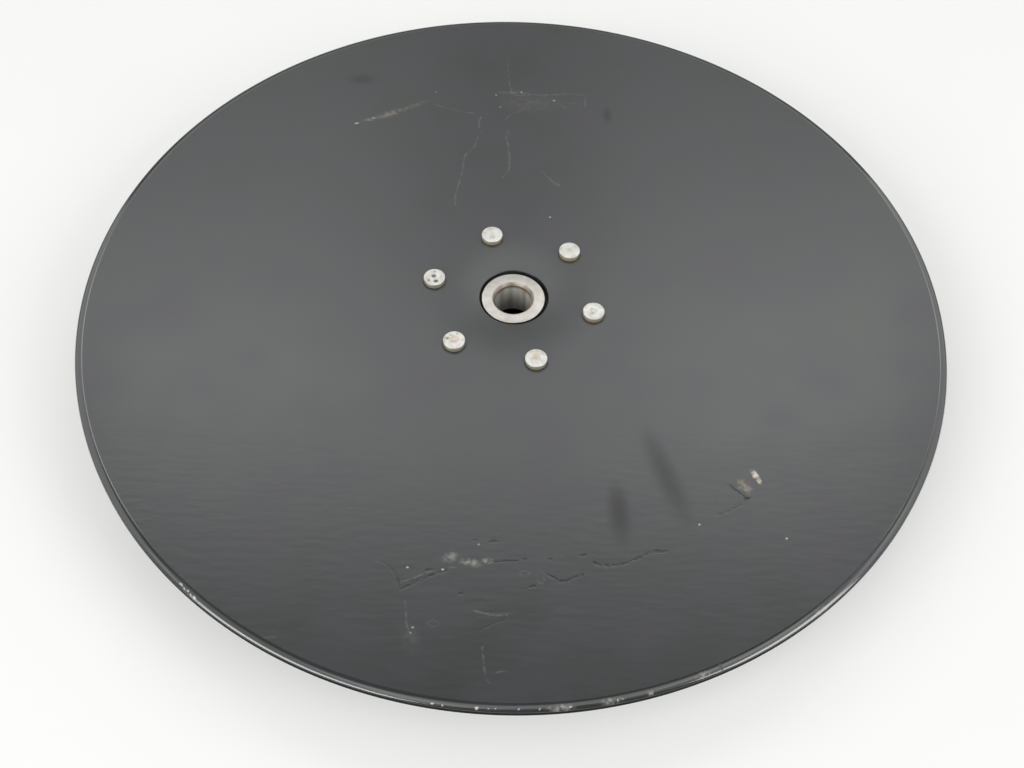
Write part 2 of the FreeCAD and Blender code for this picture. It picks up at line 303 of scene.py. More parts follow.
@dataclass(frozen=True)
class Stroke:
    """A thin mark that follows a few points on the blade's face, in millimetres.

    The points run one way along the stated axis.
    """

    along: Along
    points: tuple[tuple[float, float], ...]
    half_width: float
    strength: float

    def mask(self, tree: Tree, place: Socket) -> Socket:
        """Draw the stroke as a mask of 0 to 1.

        Args:
            tree: The material's node tree.
            place: The point on the face, in millimetres.

        Returns:
            The mask.
        """
        main, side = (0, 1) if self.along is Along.X else (1, 0)
        points = sorted((point[main], point[side]) for point in self.points)
        start, end = points[0][0], points[-1][0]
        low = min(across for _, across in points)
        span = max(max(across for _, across in points) - low, LEAST_SPAN_MM)
        parts = add_node(tree, "ShaderNodeSeparateXYZ", {0: place})
        travel = add_node(tree, "ShaderNodeMapRange", {0: parts.outputs[main], 1: start, 2: end})
        path = add_node(tree, "ShaderNodeFloatCurve", {"Value": travel.outputs[0]})
        curve = path.mapping.curves[0]
        curve.points[0].location = (0, (points[0][1] - low) / span)
        curve.points[1].location = (1, (points[-1][1] - low) / span)
        for distance, across in points[1:-1]:
            curve.points.new((distance - start) / (end - start), (across - low) / span)
        path.mapping.update()
        middle = add_node(
            tree, "ShaderNodeMath", {0: path.outputs[0], 1: span, 2: low}, operation="MULTIPLY_ADD"
        )
        offset = add_node(
            tree, "ShaderNodeMath", {0: parts.outputs[side], 1: middle.outputs[0]}, operation="SUBTRACT"
        )
        away = add_node(tree, "ShaderNodeMath", {0: offset.outputs[0]}, operation="ABSOLUTE")
        line = add_node(
            tree, "ShaderNodeMapRange",
            {0: away.outputs[0], 1: self.half_width, 2: self.half_width * STROKE_CORE, 3: 0.0,
             4: self.strength},
            interpolation_type="SMOOTHSTEP",
        )
        inside = add_node(
            tree, "ShaderNodeMath",
            {0: parts.outputs[main], 1: (start + end) / 2, 2: (end - start) / 2}, operation="COMPARE",
        )
        return add_node(
            tree, "ShaderNodeMath", {0: line.outputs[0], 1: inside.outputs[0]}, operation="MULTIPLY"
        ).outputs[0]


@dataclass(frozen=True)
class Patch:
    """An oval mark on a face, in millimetres and degrees.

    The soft part is the share of its size over which it fades, and a hollow patch shows only its edge.
    """

    x: float
    y: float
    half_length: float
    half_width: float
    tilt: float
    soft: float
    strength: float
    hollow: bool = False

    def mask(self, tree: Tree, place: Socket) -> Socket:
        """Draw the patch as a mask of 0 to 1.

        Args:
            tree: The material's node tree.
            place: The point on the face, in millimetres.

        Returns:
            The mask.
        """
        local = add_node(
            tree, "ShaderNodeMapping",
            {"Vector": place, "Location": (self.x, self.y, 0),
             "Rotation": (0, 0, math.radians(self.tilt)),
             "Scale": (self.half_length, self.half_width, 1)},
            vector_type="TEXTURE",
        )
        level = add_node(
            tree, "ShaderNodeVectorMath", {0: local.outputs[0]}, operation="LENGTH"
        ).outputs[1]
        if self.hollow:
            offset = add_node(tree, "ShaderNodeMath", {0: level, 1: 1.0}, operation="SUBTRACT").outputs[0]
            away = add_node(tree, "ShaderNodeMath", {0: offset}, operation="ABSOLUTE").outputs[0]
            edges = {0: away, 1: self.soft, 2: self.soft * HOLLOW_CORE, 3: 0.0, 4: self.strength}
        else:
            edges = {0: level, 1: 1 + self.soft, 2: 1 - self.soft, 3: 0.0, 4: self.strength}
        return add_node(tree, "ShaderNodeMapRange", edges, interpolation_type="SMOOTHSTEP").outputs[0]


def strongest(tree: Tree, place: Socket, marks: tuple[Stroke | Patch, ...]) -> Socket:
    """Combine the masks of several marks.

    Args:
        tree: The material's node tree.
        place: The point on the face, in millimetres.
        marks: The marks.

    Returns:
        The strongest mask at each point.
    """
    combined = marks[0].mask(tree, place)
    for mark in marks[1:]:
        combined = add_node(
            tree, "ShaderNodeMath", {0: combined, 1: mark.mask(tree, place)}, operation="MAXIMUM"
        ).outputs[0]
    return combined


def raise_relief(tree: Tree, shader: Node, layers: list[tuple[Socket, float]]) -> None:
    """Raise a finish's surface by several layers of pattern.

    Args:
        tree: The material's node tree.
        shader: Its Principled shader.
        layers: Each pattern and the height in millimetres that a value of 1 stands for.
    """
    total = None
    for pattern, height in layers:
        inputs = {0: pattern, 1: height} if total is None else {0: pattern, 1: height, 2: total}
        kind = "MULTIPLY" if total is None else "MULTIPLY_ADD"
        total = add_node(tree, "ShaderNodeMath", inputs, operation=kind).outputs[0]
    bump = add_node(tree, "ShaderNodeBump", {"Height": total, "Strength": 1.0, "Distance": MM})
    tree.links.new(bump.outputs[0], shader.inputs["Normal"])


def vary_roughness(
    tree: Tree, shader: Node, noise: Socket, at_low: float, at_high: float,
    dullings: Sequence[tuple[Socket, float]] = (),
) -> None:
    """Give a finish a roughness that follows a noise, with duller marks on it.

    Args:
        tree: The material's node tree.
        shader: Its Principled shader.
        noise: The noise pattern.
        at_low: The roughness where the noise is low.
        at_high: The roughness where the noise is high.
        dullings: The mask of each dull mark and the roughness that it adds.
    """
    rough = add_node(
        tree, "ShaderNodeMapRange", {0: noise, 1: NOISE_LOW, 2: NOISE_HIGH, 3: at_low, 4: at_high}
    ).outputs[0]
    for mask, amount in dullings:
        rough = add_node(
            tree, "ShaderNodeMath", {0: mask, 1: amount, 2: rough}, operation="MULTIPLY_ADD"
        ).outputs[0]
    tree.links.new(rough, shader.inputs["Roughness"])


def cover_faces(piece: Piece, material: Material, belongs: Callable[[Vector], bool]) -> None:
    """Give a material to the faces whose middle passes a test.

    Args:
        piece: The piece.
        material: The material of those faces.
        belongs: The test, which is given the face's middle in millimetres.
    """
    piece.data.materials.append(material)
    index = len(piece.data.materials) - 1
    for face in piece.data.polygons:
        if belongs(face.center / MM):
            face.material_index = index


@dataclass(frozen=True)
class Finish:
    """A procedural material. Each kind of finish draws itself in paint()."""

    name: str

    def material(self) -> Material:
        """Make the material.

        Returns:
            The material, with its nodes.
        """
        made = bpy.data.materials.new(self.name)
        made.use_nodes = True
        tree = made.node_tree
        shader = next(node for node in tree.nodes if node.type == "BSDF_PRINCIPLED")
        point = add_node(tree, "ShaderNodeTexCoord").outputs["Object"]
        place = add_node(
            tree, "ShaderNodeVectorMath", {0: point, "Scale": 1 / MM}, operation="SCALE"
        ).outputs[0]
        self.paint(tree, shader, place)
        return made

    def paint(self, tree: Tree, shader: Node, place: Socket) -> None:
        """Draw the finish.

        Args:
            tree: The material's node tree.
            shader: Its Principled shader.
            place: The point on the piece, in millimetres.
        """
        raise NotImplementedError


@dataclass(frozen=True)
class Look:
    """What a kind of mark does to the enamel.

    The cover is how far its tint hides the paint, the dulling is the roughness that it adds, and the
    shake is how far noise drags its outline. A broken mark fades in and out along its length.
    """

    tint: str
    cover: float
    height_mm: float = 0.0
    shake_mm: float = 0.9
    broken: bool = False
    dulling: float = 0.0


class Trace(Enum):
    """The kinds of mark drawn on the enamel: those that handling and drying have left, and painted
    highlight and shade.
    """

    # Dark patches on the face, and painted shade round the rivet heads
    DARK_PATCH_AND_SHADE = Look("#151515", 0.45, dulling=0.3)
    TIDE_LINE = Look("#8f8d84", 0.20, 0.006, broken=True)
    SMEAR = Look("#a09a87", 0.28, broken=True)
    # Painted highlight along the raised wrinkles, over a real rise in the paint
    HIGHLIT_RIDGE = Look("#8c8a83", 0.15, 0.03, broken=True)
    # Painted shade in the furrows of the wrinkled paint, over a real dip in it
    SHADED_FURROW = Look("#0c0c0c", 0.80, -0.05, broken=True)
    FLAKE = Look("#b3b0a6", 0.34, 0.0, 1.6, broken=True, dulling=0.2)
    SPECK = Look("#b9b4a6", 0.75, 0.0, 0.5)
    PRIMER = Look("#6f6b61", 0.80, 0.0, 2.6, broken=True, dulling=0.2)
    CREAM = Look("#c2bba8", 0.80, 0.0, 2.2, broken=True, dulling=0.2)
    # Dark marks where the paint is broken, with painted shade along the chip's broken edge
    SCAR_AND_SHADE = Look("#0a0a0a", 0.90, 0.0, 1.0, dulling=0.6)
    NICK = Look("#b9b5ad", 0.85, 0.0, 1.2)
    SCUFF = Look("#8b8882", 0.70, 0.0, 2.0, broken=True, dulling=0.2)


Wear = tuple[tuple[Trace, tuple[Stroke | Patch, ...]], ...]

# Dried tide marks, a pale smear, dark patches and specks on the side away from the camera
FAR_WEAR: Wear = (
    (Trace.DARK_PATCH_AND_SHADE, (
        Patch(-77, 142, 6, 3.5, 0, 0.9, 0.9),
        Patch(47, 118, 1.8, 4.5, 0, 0.9, 1.0),
    )),
    (Trace.TIDE_LINE, (
        Stroke(Along.X, ((-40, 124), (-27, 119.5), (-17.5, 117.5)), 0.5, 0.8),
        Stroke(Along.Y, ((-16, 115.5), (-17, 108.5), (-14, 104.5)), 0.5, 0.9),
        Stroke(
            Along.Y,
            ((-17.5, 101.5), (-19, 94.5), (-23.5, 87.5), (-24.5, 77.5), (-26.5, 66), (-27.5, 59.5),
             (-27, 54.5)),
            0.55, 0.9,
        ),
        Stroke(Along.Y, ((-2.5, 157), (-2.5, 146.5), (-2, 140.5), (-0.5, 134.5)), 0.45, 0.7),
        Stroke(Along.X, ((-0.5, 131), (9, 132), (19, 132.2), (29, 133.1), (35.6, 131.8)), 0.5, 1.0),
        Stroke(Along.Y, ((35.6, 131.8), (36.4, 128.1), (35.8, 123.5)), 0.5, 1.0),
        Stroke(
            Along.X,
            ((20, 128.5), (23.7, 124.8), (27.7, 122.7), (28.8, 125.7), (30.8, 126.5), (33.3, 124.3)),
            0.5, 0.8,
        ),
        Stroke(Along.Y, ((11, 128.3), (7, 125.9), (3.5, 120), (-1.5, 117), (-4, 113.5)), 0.5, 1.0),
        Stroke(
            Along.Y,
            ((-4.5, 107), (-2.5, 104.5), (-3.5, 101.2), (-2.5, 96.3), (-2, 80.5), (-3.5, 76.5),
             (-5.5, 73.5)),
            0.6, 1.0,
        ),
        Stroke(Along.X, ((13.5, 79.5), (16.5, 74), (22.5, 68.5)), 1.3, 0.8),
        Patch(9, 125.5, 12, 5, 0, 0.9, 0.35),
    )),
    (Trace.SMEAR, (
        Patch(-61.5, 116.8, 6.0, 1.5, 24, 0.9, 1.2),
        Patch(-51, 122.0, 7.0, 1.0, 29, 0.9, 0.6),
        Patch(-71, 112.6, 3.0, 1.0, 24, 0.9, 0.9),
        Patch(0, 133.5, 6, 1.0, 0, 0.8, 0.6),
    )),
    (Trace.SPECK, (
        Patch(-77.5, 109.5, 1.05, 0.35, 15, 0.4, 0.9),
        Patch(-69.5, 113.5, 0.84, 0.49, 15, 0.6, 0.5),
        Patch(17.2, 48.3, 0.42, 0.42, 0, 0.5, 1.0),
        Patch(-39, 133, 0.42, 0.35, 0, 0.6, 0.45),
        Patch(-8.7, 131.5, 0.42, 0.42, 0, 0.5, 0.7),
        Patch(4, 134, 0.42, 0.42, 0, 0.5, 0.7),
        Patch(-6.6, 122.7, 0.42, 0.35, 0, 0.5, 0.6),
        Patch(20.5, 128, 0.63, 0.56, 0, 0.6, 0.5),
    )),
)

# Wrinkles with painted highlights on their ridges and painted shade in their furrows, dark patches,
# flakes and specks on the near side
NEAR_WEAR: Wear = (
    (Trace.DARK_PATCH_AND_SHADE, (
        Patch(41.7, -110, 3.2, 10, 3, 0.9, 0.9),
        Patch(62.2, -93.8, 16, 3.6, -72, 0.95, 0.55),
    )),
    (Trace.HIGHLIT_RIDGE, (
        Stroke(Along.X, ((-43, -140.5), (-36, -137.5), (-30, -135), (-22, -133.5)), 0.59, 0.9),
        Stroke(Along.X, ((-15.3, -151), (-10, -152.8), (-4.5, -153.2), (-1, -151.7)), 0.71, 1.0),
        Stroke(Along.Y, ((-11.5, -165.5), (-10.8, -172), (-9.8, -178.5), (-6.3, -180)), 0.59, 1.0),
        Stroke(Along.X, ((-6.3, -176), (-3.8, -175.3), (-1.3, -176.3)), 0.53, 0.9),
        Stroke(Along.Y, ((-40.8, -147.5), (-40, -153), (-39.5, -158), (-37.5, -161)), 0.59, 0.9),
        Patch(-29.8, -157, 2.0, 1.2, 0, 0.35, 0.5, True),
        Patch(4.2, -136.2, 1.8, 1.2, 10, 0.35, 0.5, True),
        Patch(10.4, -137.5, 1.3, 2.8, 0, 0.3, 0.5, True),
        Patch(-38, -163, 2.6, 4.5, 15, 0.9, 0.5),
    )),
    (Trace.SHADED_FURROW, (
        Stroke(
            Along.X, ((-43.5, -143.5), (-38, -140.5), (-33, -138), (-28.5, -136), (-25, -134.8)), 0.8, 0.8
        ),
        Stroke(Along.Y, ((-51.5, -131), (-47, -134), (-44.3, -138), (-43, -143.5)), 0.96, 0.6),
        Stroke(Along.X, ((-33.5, -134.8), (-29, -134.8), (-25, -133.8)), 0.8, 0.7),
        Stroke(Along.X, ((-13, -132.3), (-6, -131), (-1.5, -130.5), (2, -130.8)), 0.64, 0.8),
        Stroke(Along.Y, ((-2, -153.5), (-4, -155.3), (-8, -157), (-12.5, -159.5)), 0.96, 0.8),
        Stroke(
            Along.X,
            ((30.7, -131), (33.7, -132), (37.2, -132.5), (42.2, -131.5), (49.2, -128.5), (53.2, -126.5),
             (56.3, -126), (60.8, -126.5)),
            0.95, 1.0,
        ),
        Stroke(
            Along.X, ((12.7, -136.5), (16.2, -138), (18.8, -139), (21.8, -138), (26.8, -136)), 0.96, 1.0
        ),
        Patch(4.6, -130, 1.0, 0.5, 0, 0.5, 1.0),
        Patch(14.2, -129.7, 0.9, 0.5, 0, 0.5, 0.9),
        Patch(26.7, -128, 1.5, 0.6, 5, 0.5, 1.0),
        Patch(-14.8, -122, 1.0, 0.5, 0, 0.5, 0.9),
        Patch(-7.6, -122.4, 1.6, 0.7, 10, 0.5, 1.0),
        Patch(7.4, -141.5, 1.4, 0.7, 0, 0.5, 0.9),
        Patch(-20, -144.5, 0.9, 0.6, 0, 0.5, 0.9),
    )),
    (Trace.FLAKE, (
        Patch(-24, -129.2, 2.6, 1.6, 20, 0.8, 0.8),
        Patch(-16.5, -131.5, 3.4, 1.3, -10, 0.7, 1.0),
        Patch(-9.8, -130.7, 1.7, 1.1, 0, 0.6, 1.3),
    )),
    (Trace.SPECK, (
        Patch(-40.4, -133.7, 0.49, 0.42, 0, 0.5, 0.8),
        Patch(-26.9, -134.5, 0.49, 0.42, 0, 0.5, 0.9),
        Patch(-37.3, -158.3, 0.42, 0.35, 10, 0.6, 0.6),
        Patch(-38, -160.5, 0.35, 0.35, 0, 0.6, 0.4),
        Patch(-13.3, -123.6, 0.49, 0.35, 0, 0.5, 0.5),
        Patch(73, -113.9, 0.42, 0.35, 0, 0.5, 0.9),
        Stroke(Along.X, ((-96.5, -162.8), (-87, -162.6)), 0.25, 0.12),
    )),
)

# A chip down to the primer on the near right, with painted shade along its broken edge
CHIPPED_WEAR: Wear = (
    (Trace.SHADED_FURROW, (
        Stroke(Along.Y, ((87.5, -97.5), (89.5, -98.6), (91.5, -100.5), (92.5, -103)), 0.96, 0.9),
        Stroke(Along.X, ((80.8, -109.4), (85.8, -107.4), (91.3, -103.5)), 0.8, 0.6),
    )),
    (Trace.SPECK, (Patch(106.6, -119.7, 0.42, 0.42, 0, 0.5, 0.9),)),
    (Trace.PRIMER, (Patch(92.6, -96.4, 3.6, 2.3, -62, 0.5, 1.1),)),
    (Trace.CREAM, (
        Patch(97.3, -90.6, 2.1, 1.1, -66, 0.5, 1.1),
        Patch(98.7, -93.6, 1.7, 0.9, -66, 0.5, 1.0),
    )),
    (Trace.SCAR_AND_SHADE, (
        Stroke(Along.X, ((86.6, -95.6), (88.5, -97.3), (90.3, -99.0), (92.6, -101.2)), 0.45, 0.8),
        Patch(93.2, -101.8, 1.1, 0.45, 10, 0.5, 1.0),
        Patch(92.0, -98.6, 1.0, 0.3, -40, 0.5, 0.7),
    )),
)

# Knocks and scuffs along the near rim
RIM_WEAR: Wear = (
    (Trace.SCUFF, (
        Patch(16.9, -188.6, 3.9, 0.9, 5, 0.7, 1.0),
        Patch(35.5, -185.9, 3.3, 0.9, 11, 0.7, 1.0),
        Patch(49.5, -182.8, 1.0, 0.6, 15, 0.7, 0.9),
        Patch(69, -176, 2.2, 0.9, 21, 0.8, 0.8),
        Patch(116, -150, 2.4, 0.8, 38, 0.8, 0.9),
    )),
    (Trace.NICK, (
        Patch(-125.3, -141.6, 0.7, 0.28, -50, 0.5, 0.9),
        Patch(-123.8, -143.2, 0.5, 0.28, -64, 0.5, 0.8),
        Patch(-122.4, -144.3, 0.6, 0.3, -45, 0.5, 0.9),
        Patch(-120.9, -145.8, 0.6, 0.26, -70, 0.5, 0.9),
        Patch(-119.4, -147.0, 0.8, 0.42, -52, 0.5, 1.0),
        Patch(-117.5, -148.8, 0.5, 0.24, 10, 0.5, 0.6),
        Patch(-29, -187.2, 0.49, 0.33, -9, 0.5, 1.0),
        Patch(-25.4, -187.8, 0.32, 0.26, -8, 0.5, 0.8),
        Patch(-13, -188.8, 0.7, 0.39, -4, 0.5, 1.0),
        Patch(-8.8, -189, 0.28, 0.23, 0, 0.5, 0.8),
        Patch(-6.3, -189.1, 0.32, 0.23, 0, 0.5, 0.7),
        Patch(2, -189.2, 0.28, 0.26, 0, 0.5, 0.8),
        Patch(9.5, -189, 0.28, 0.26, 0, 0.5, 0.7),
        Patch(20.5, -188.2, 0.49, 0.29, 6, 0.5, 0.9),
        Patch(37.4, -185.4, 0.35, 0.26, 11, 0.5, 0.9),
        Patch(39.4, -185, 0.28, 0.26, 11, 0.5, 0.8),
    )),
    (Trace.SCAR_AND_SHADE, (Patch(76, -173, 0.7, 1.4, 23, 0.5, 0.8),)),
)


@dataclass(frozen=True)
class SprayedEnamel(Finish):
    """Black enamel sprayed on steel plate.

    It gives the eye a satin black skin with a faint orange peel, a glossy line where it rolls over the
    rim, and bare metal where knocks went through it. The peel and the ripple are drawn a few times
    coarser than the real ones, so that they show.
    """

    dark: str = "#20271e"
    pale: str = "#2d2b33"
    roughness: float = 0.305
    roughness_spread: float = 0.02
    gloss_coat: float = 0.0
    coat_roughness: float = 0.08
    specular_level: float = 0.75
    cloud_mm: float = 28.0
    peel_mm: float = 1.7
    peel_height_mm: float = 0.0015
    wave_mm: float = 9.0
    wave_height_mm: float = 0.006
    ripple_mm: float = 2.6
    ripple_height_mm: float = 0.0
    ripple_stretch: float = 0.3
    shake_size_mm: float = 1.4
    fade_size_mm: float = 2.2
    fade_from: float = 0.40
    fade_to: float = 0.58
    faintest: float = 0.15
    wear: Wear = ()

    def paint(self, tree: Tree, shader: Node, place: Socket) -> None:
        """Draw the enamel and its marks.

        Args:
            tree: The material's node tree.
            shader: Its Principled shader.
            place: The point on the blade, in millimetres.
        """
        cloud = add_node(
            tree, "ShaderNodeTexNoise", {"Vector": place, "Scale": 1 / self.cloud_mm, "Detail": 3.0}
        )
        colour = add_node(
            tree, "ShaderNodeMix", {0: cloud.outputs["Fac"], 6: linear(self.dark), 7: linear(self.pale)},
            data_type="RGBA",
        ).outputs[2]
        heights = []
        for size, height in ((self.peel_mm, self.peel_height_mm), (self.wave_mm, self.wave_height_mm)):
            noise = add_node(
                tree, "ShaderNodeTexNoise", {"Vector": place, "Scale": 1 / size, "Detail": 1.0}
            )
            heights.append((noise.outputs["Fac"], height))
        if self.ripple_height_mm:
            stretched = add_node(
                tree, "ShaderNodeVectorMath", {0: place, 1: (self.ripple_stretch, 1.0, 1.0)},
                operation="MULTIPLY",
            )
            ripple = add_node(
                tree, "ShaderNodeTexNoise",
                {"Vector": stretched.outputs[0], "Scale": 1 / self.ripple_mm, "Detail": 1.0},
            )
            heights.append((ripple.outputs["Fac"], self.ripple_height_mm))
        dullings = []
        if self.wear:
            colour = self.draw_wear(tree, place, colour, heights, dullings)
        tree.links.new(colour, shader.inputs["Base Color"])
        shader.inputs["Specular IOR Level"].default_value = self.specular_level
        shader.inputs["Coat Weight"].default_value = self.gloss_coat
        shader.inputs["Coat Roughness"].default_value = self.coat_roughness
        smooth, rough = self.roughness - self.roughness_spread, self.roughness + self.roughness_spread
        vary_roughness(tree, shader, cloud.outputs["Fac"], smooth, rough, dullings)
        raise_relief(tree, shader, heights)

    def draw_wear(
        self, tree: Tree, place: Socket, colour: Socket, heights: list[tuple[Socket, float]],
        dullings: list[tuple[Socket, float]],
    ) -> Socket:
        """Draw the marks over the enamel.

        Args:
            tree: The material's node tree.
            place: The point on the blade, in millimetres.
            colour: The enamel's colour.
            heights: The relief's layers, which the raised marks are added to.
            dullings: The masks and amounts of added roughness, which the dull marks are added to.

        Returns:
            The colour with the marks on it.
        """
        wobble = add_node(
            tree, "ShaderNodeTexNoise", {"Vector": place, "Scale": 1 / self.shake_size_mm, "Detail": 2.0}
        ).outputs["Color"]
        fades = add_node(
            tree, "ShaderNodeTexNoise", {"Vector": place, "Scale": 1 / self.fade_size_mm, "Detail": 2.0}
        )
        fading = add_node(
            tree, "ShaderNodeMapRange",
            {0: fades.outputs["Fac"], 1: self.fade_from, 2: self.fade_to, 3: self.faintest, 4: 1.0},
        ).outputs[0]
        for trace, marks in self.wear:
            look = trace.value
            reach = look.shake_mm
            shaken = add_node(
                tree, "ShaderNodeVectorMath",
                {0: wobble, 1: (reach, reach, 0.0), 2: (-reach / 2, -reach / 2, 0.0)},
                operation="MULTIPLY_ADD",
            )
            flat = add_node(
                tree, "ShaderNodeVectorMath", {0: place, 1: FLAT, 2: shaken.outputs[0]},
                operation="MULTIPLY_ADD",
            )
            mask = strongest(tree, flat.outputs[0], marks)
            if look.broken:
                mask = add_node(
                    tree, "ShaderNodeMath", {0: mask, 1: fading}, operation="MULTIPLY"
                ).outputs[0]
            if look.height_mm:
                heights.append((mask, look.height_mm))
            if look.dulling:
                dullings.append((mask, look.dulling))
            cover = add_node(
                tree, "ShaderNodeMath", {0: mask, 1: look.cover}, operation="MULTIPLY", use_clamp=True
            ).outputs[0]
            colour = add_node(
                tree, "ShaderNodeMix", {0: cover, 6: colour, 7: linear(look.tint)}, data_type="RGBA"
            ).outputs[2]
        return colour


@dataclass(frozen=True)
class ZincPlate(Finish):
    """Zinc plating on pressed or headed steel.

    It gives the eye a soft white-silver with a faint yellow cast low on a head, a few dark flecks, and
    painted shade in the dimple of some heads.
    """

    pale: str = "#cacac5"
    dull: str = "#b1aea3"
    dull_from: float = 0.42
    dull_to: float = 0.72
    metal: float = 0.6
    roughness: float = 0.42
    smoother: float = 0.06
    rougher: float = 0.08
    cloud_mm: float = 2.4
    grain_mm: float = 0.5
    grain_height_mm: float = 0.006
    yellow_below_mm: float = 0.0
    yellow_blend_mm: float = 0.6
    yellow_cover: float = 0.85
    head_depth_mm: float = 3.0
    yellow: str = "#bdb28b"
    specks_and_dimple_shade: tuple[Patch, ...] = ()
    tan_spots: tuple[Patch, ...] = ()
    speck_and_shade: str = "#1b1a18"
    tan: str = "#a78e63"

    def paint(self, tree: Tree, shader: Node, place: Socket) -> None:
        """Draw the plating, its yellow cast, its flecks and spots, and the painted shade in its dimple.

        Args:
            tree: The material's node tree.
            shader: Its Principled shader.
            place: The point on the piece, in millimetres.
        """
        cloud = add_node(
            tree, "ShaderNodeTexNoise", {"Vector": place, "Scale": 1 / self.cloud_mm, "Detail": 4.0}
        )
        spread = add_node(
            tree, "ShaderNodeMapRange",
            {0: cloud.outputs["Fac"], 1: self.dull_from, 2: self.dull_to, 3: 0.0, 4: 1.0},
        )
        colour = add_node(
            tree, "ShaderNodeMix", {0: spread.outputs[0], 6: linear(self.pale), 7: linear(self.dull)},
            data_type="RGBA",
        ).outputs[2]
        parts = add_node(tree, "ShaderNodeSeparateXYZ", {0: place})
        low = add_node(
            tree, "ShaderNodeMapRange",
            {0: parts.outputs[2], 1: self.yellow_below_mm, 2: self.yellow_below_mm - self.yellow_blend_mm,
             3: 0.0, 4: self.yellow_cover},
        ).outputs[0]
        on_head = add_node(
            tree, "ShaderNodeMath",
            {0: parts.outputs[2], 1: self.yellow_below_mm - self.head_depth_mm}, operation="GREATER_THAN",
        ).outputs[0]
        low = add_node(tree, "ShaderNodeMath", {0: low, 1: on_head}, operation="MULTIPLY").outputs[0]
        colour = add_node(
            tree, "ShaderNodeMix", {0: low, 6: colour, 7: linear(self.yellow)}, data_type="RGBA"
        ).outputs[2]
        flat = add_node(
            tree, "ShaderNodeVectorMath", {0: place, 1: FLAT}, operation="MULTIPLY"
        ).outputs[0]
        # Dark flecks and painted shade in a head's dimple, then tan spots
        for marks, tint in ((self.specks_and_dimple_shade, self.speck_and_shade), (self.tan_spots, self.tan)):
            if marks:
                mask = strongest(tree, flat, marks)
                mask = add_node(
                    tree, "ShaderNodeMath", {0: mask, 1: on_head}, operation="MULTIPLY"
                ).outputs[0]
                colour = add_node(
                    tree, "ShaderNodeMix", {0: mask, 6: colour, 7: linear(tint)}, data_type="RGBA"
                ).outputs[2]
        tree.links.new(colour, shader.inputs["Base Color"])
        shader.inputs["Metallic"].default_value = self.metal
        smooth, rough = self.roughness - self.smoother, self.roughness + self.rougher
        vary_roughness(tree, shader, cloud.outputs["Fac"], smooth, rough)
        grain = add_node(
            tree, "ShaderNodeTexNoise", {"Vector": place, "Scale": 1 / self.grain_mm, "Detail": 2.0}
        )
        raise_relief(tree, shader, [(grain.outputs["Fac"], self.grain_height_mm)])


@dataclass(frozen=True)
class GroundSteel(Finish):
    """Bearing steel ground on a turning wheel.

    It gives the eye a warm grey with fine marks round the axis. Real marks are a few hundredths of a
    millimetre wide, and these are drawn coarser so that they show.
    """

    pale: str = "#bcb9b4"
    dull: str = "#aba7a0"
    shade_from: float = 0.15
    shade_to: float = 0.35
    roughness: float = 0.36
    smoother: float = 0.04
    rougher: float = 0.05
    cloud_mm: float = 2.857
    groove_mm: float = 0.22
    groove_height_mm: float = 0.0016

    def paint(self, tree: Tree, shader: Node, place: Socket) -> None:
        """Draw the grinding marks.

        Args:
            tree: The material's node tree.
            shader: Its Principled shader.
            place: The point on the piece, in millimetres.
        """
        parts = add_node(tree, "ShaderNodeSeparateXYZ", {0: place})
        outward = add_node(tree, "ShaderNodeVectorMath", {0: place, 1: FLAT}, operation="MULTIPLY")
        radius = add_node(tree, "ShaderNodeVectorMath", {0: outward.outputs[0]}, operation="LENGTH")
        line = add_node(tree, "ShaderNodeCombineXYZ", {0: radius.outputs[1], 1: parts.outputs[2]})
        marks = add_node(
            tree, "ShaderNodeTexNoise",
            {"Vector": line.outputs[0], "Scale": 1 / self.groove_mm, "Detail": 3.0},
        )
        cloud = add_node(
            tree, "ShaderNodeTexNoise", {"Vector": place, "Scale": 1 / self.cloud_mm, "Detail": 4.0}
        )
        mixed = add_node(
            tree, "ShaderNodeMath", {0: marks.outputs["Fac"], 1: cloud.outputs["Fac"]},
            operation="MULTIPLY",
        )
        shade = add_node(
            tree, "ShaderNodeMapRange",
            {0: mixed.outputs[0], 1: self.shade_from, 2: self.shade_to, 3: 0.0, 4: 1.0},
        )
        colour = add_node(
            tree, "ShaderNodeMix", {0: shade.outputs[0], 6: linear(self.dull), 7: linear(self.pale)},
            data_type="RGBA",
        ).outputs[2]
        tree.links.new(colour, shader.inputs["Base Color"])
        shader.inputs["Metallic"].default_value = 1.0
        smooth, rough = self.roughness - self.smoother, self.roughness + self.rougher
        vary_roughness(tree, shader, marks.outputs["Fac"], smooth, rough)
        raise_relief(tree, shader, [(marks.outputs["Fac"], self.groove_height_mm)])


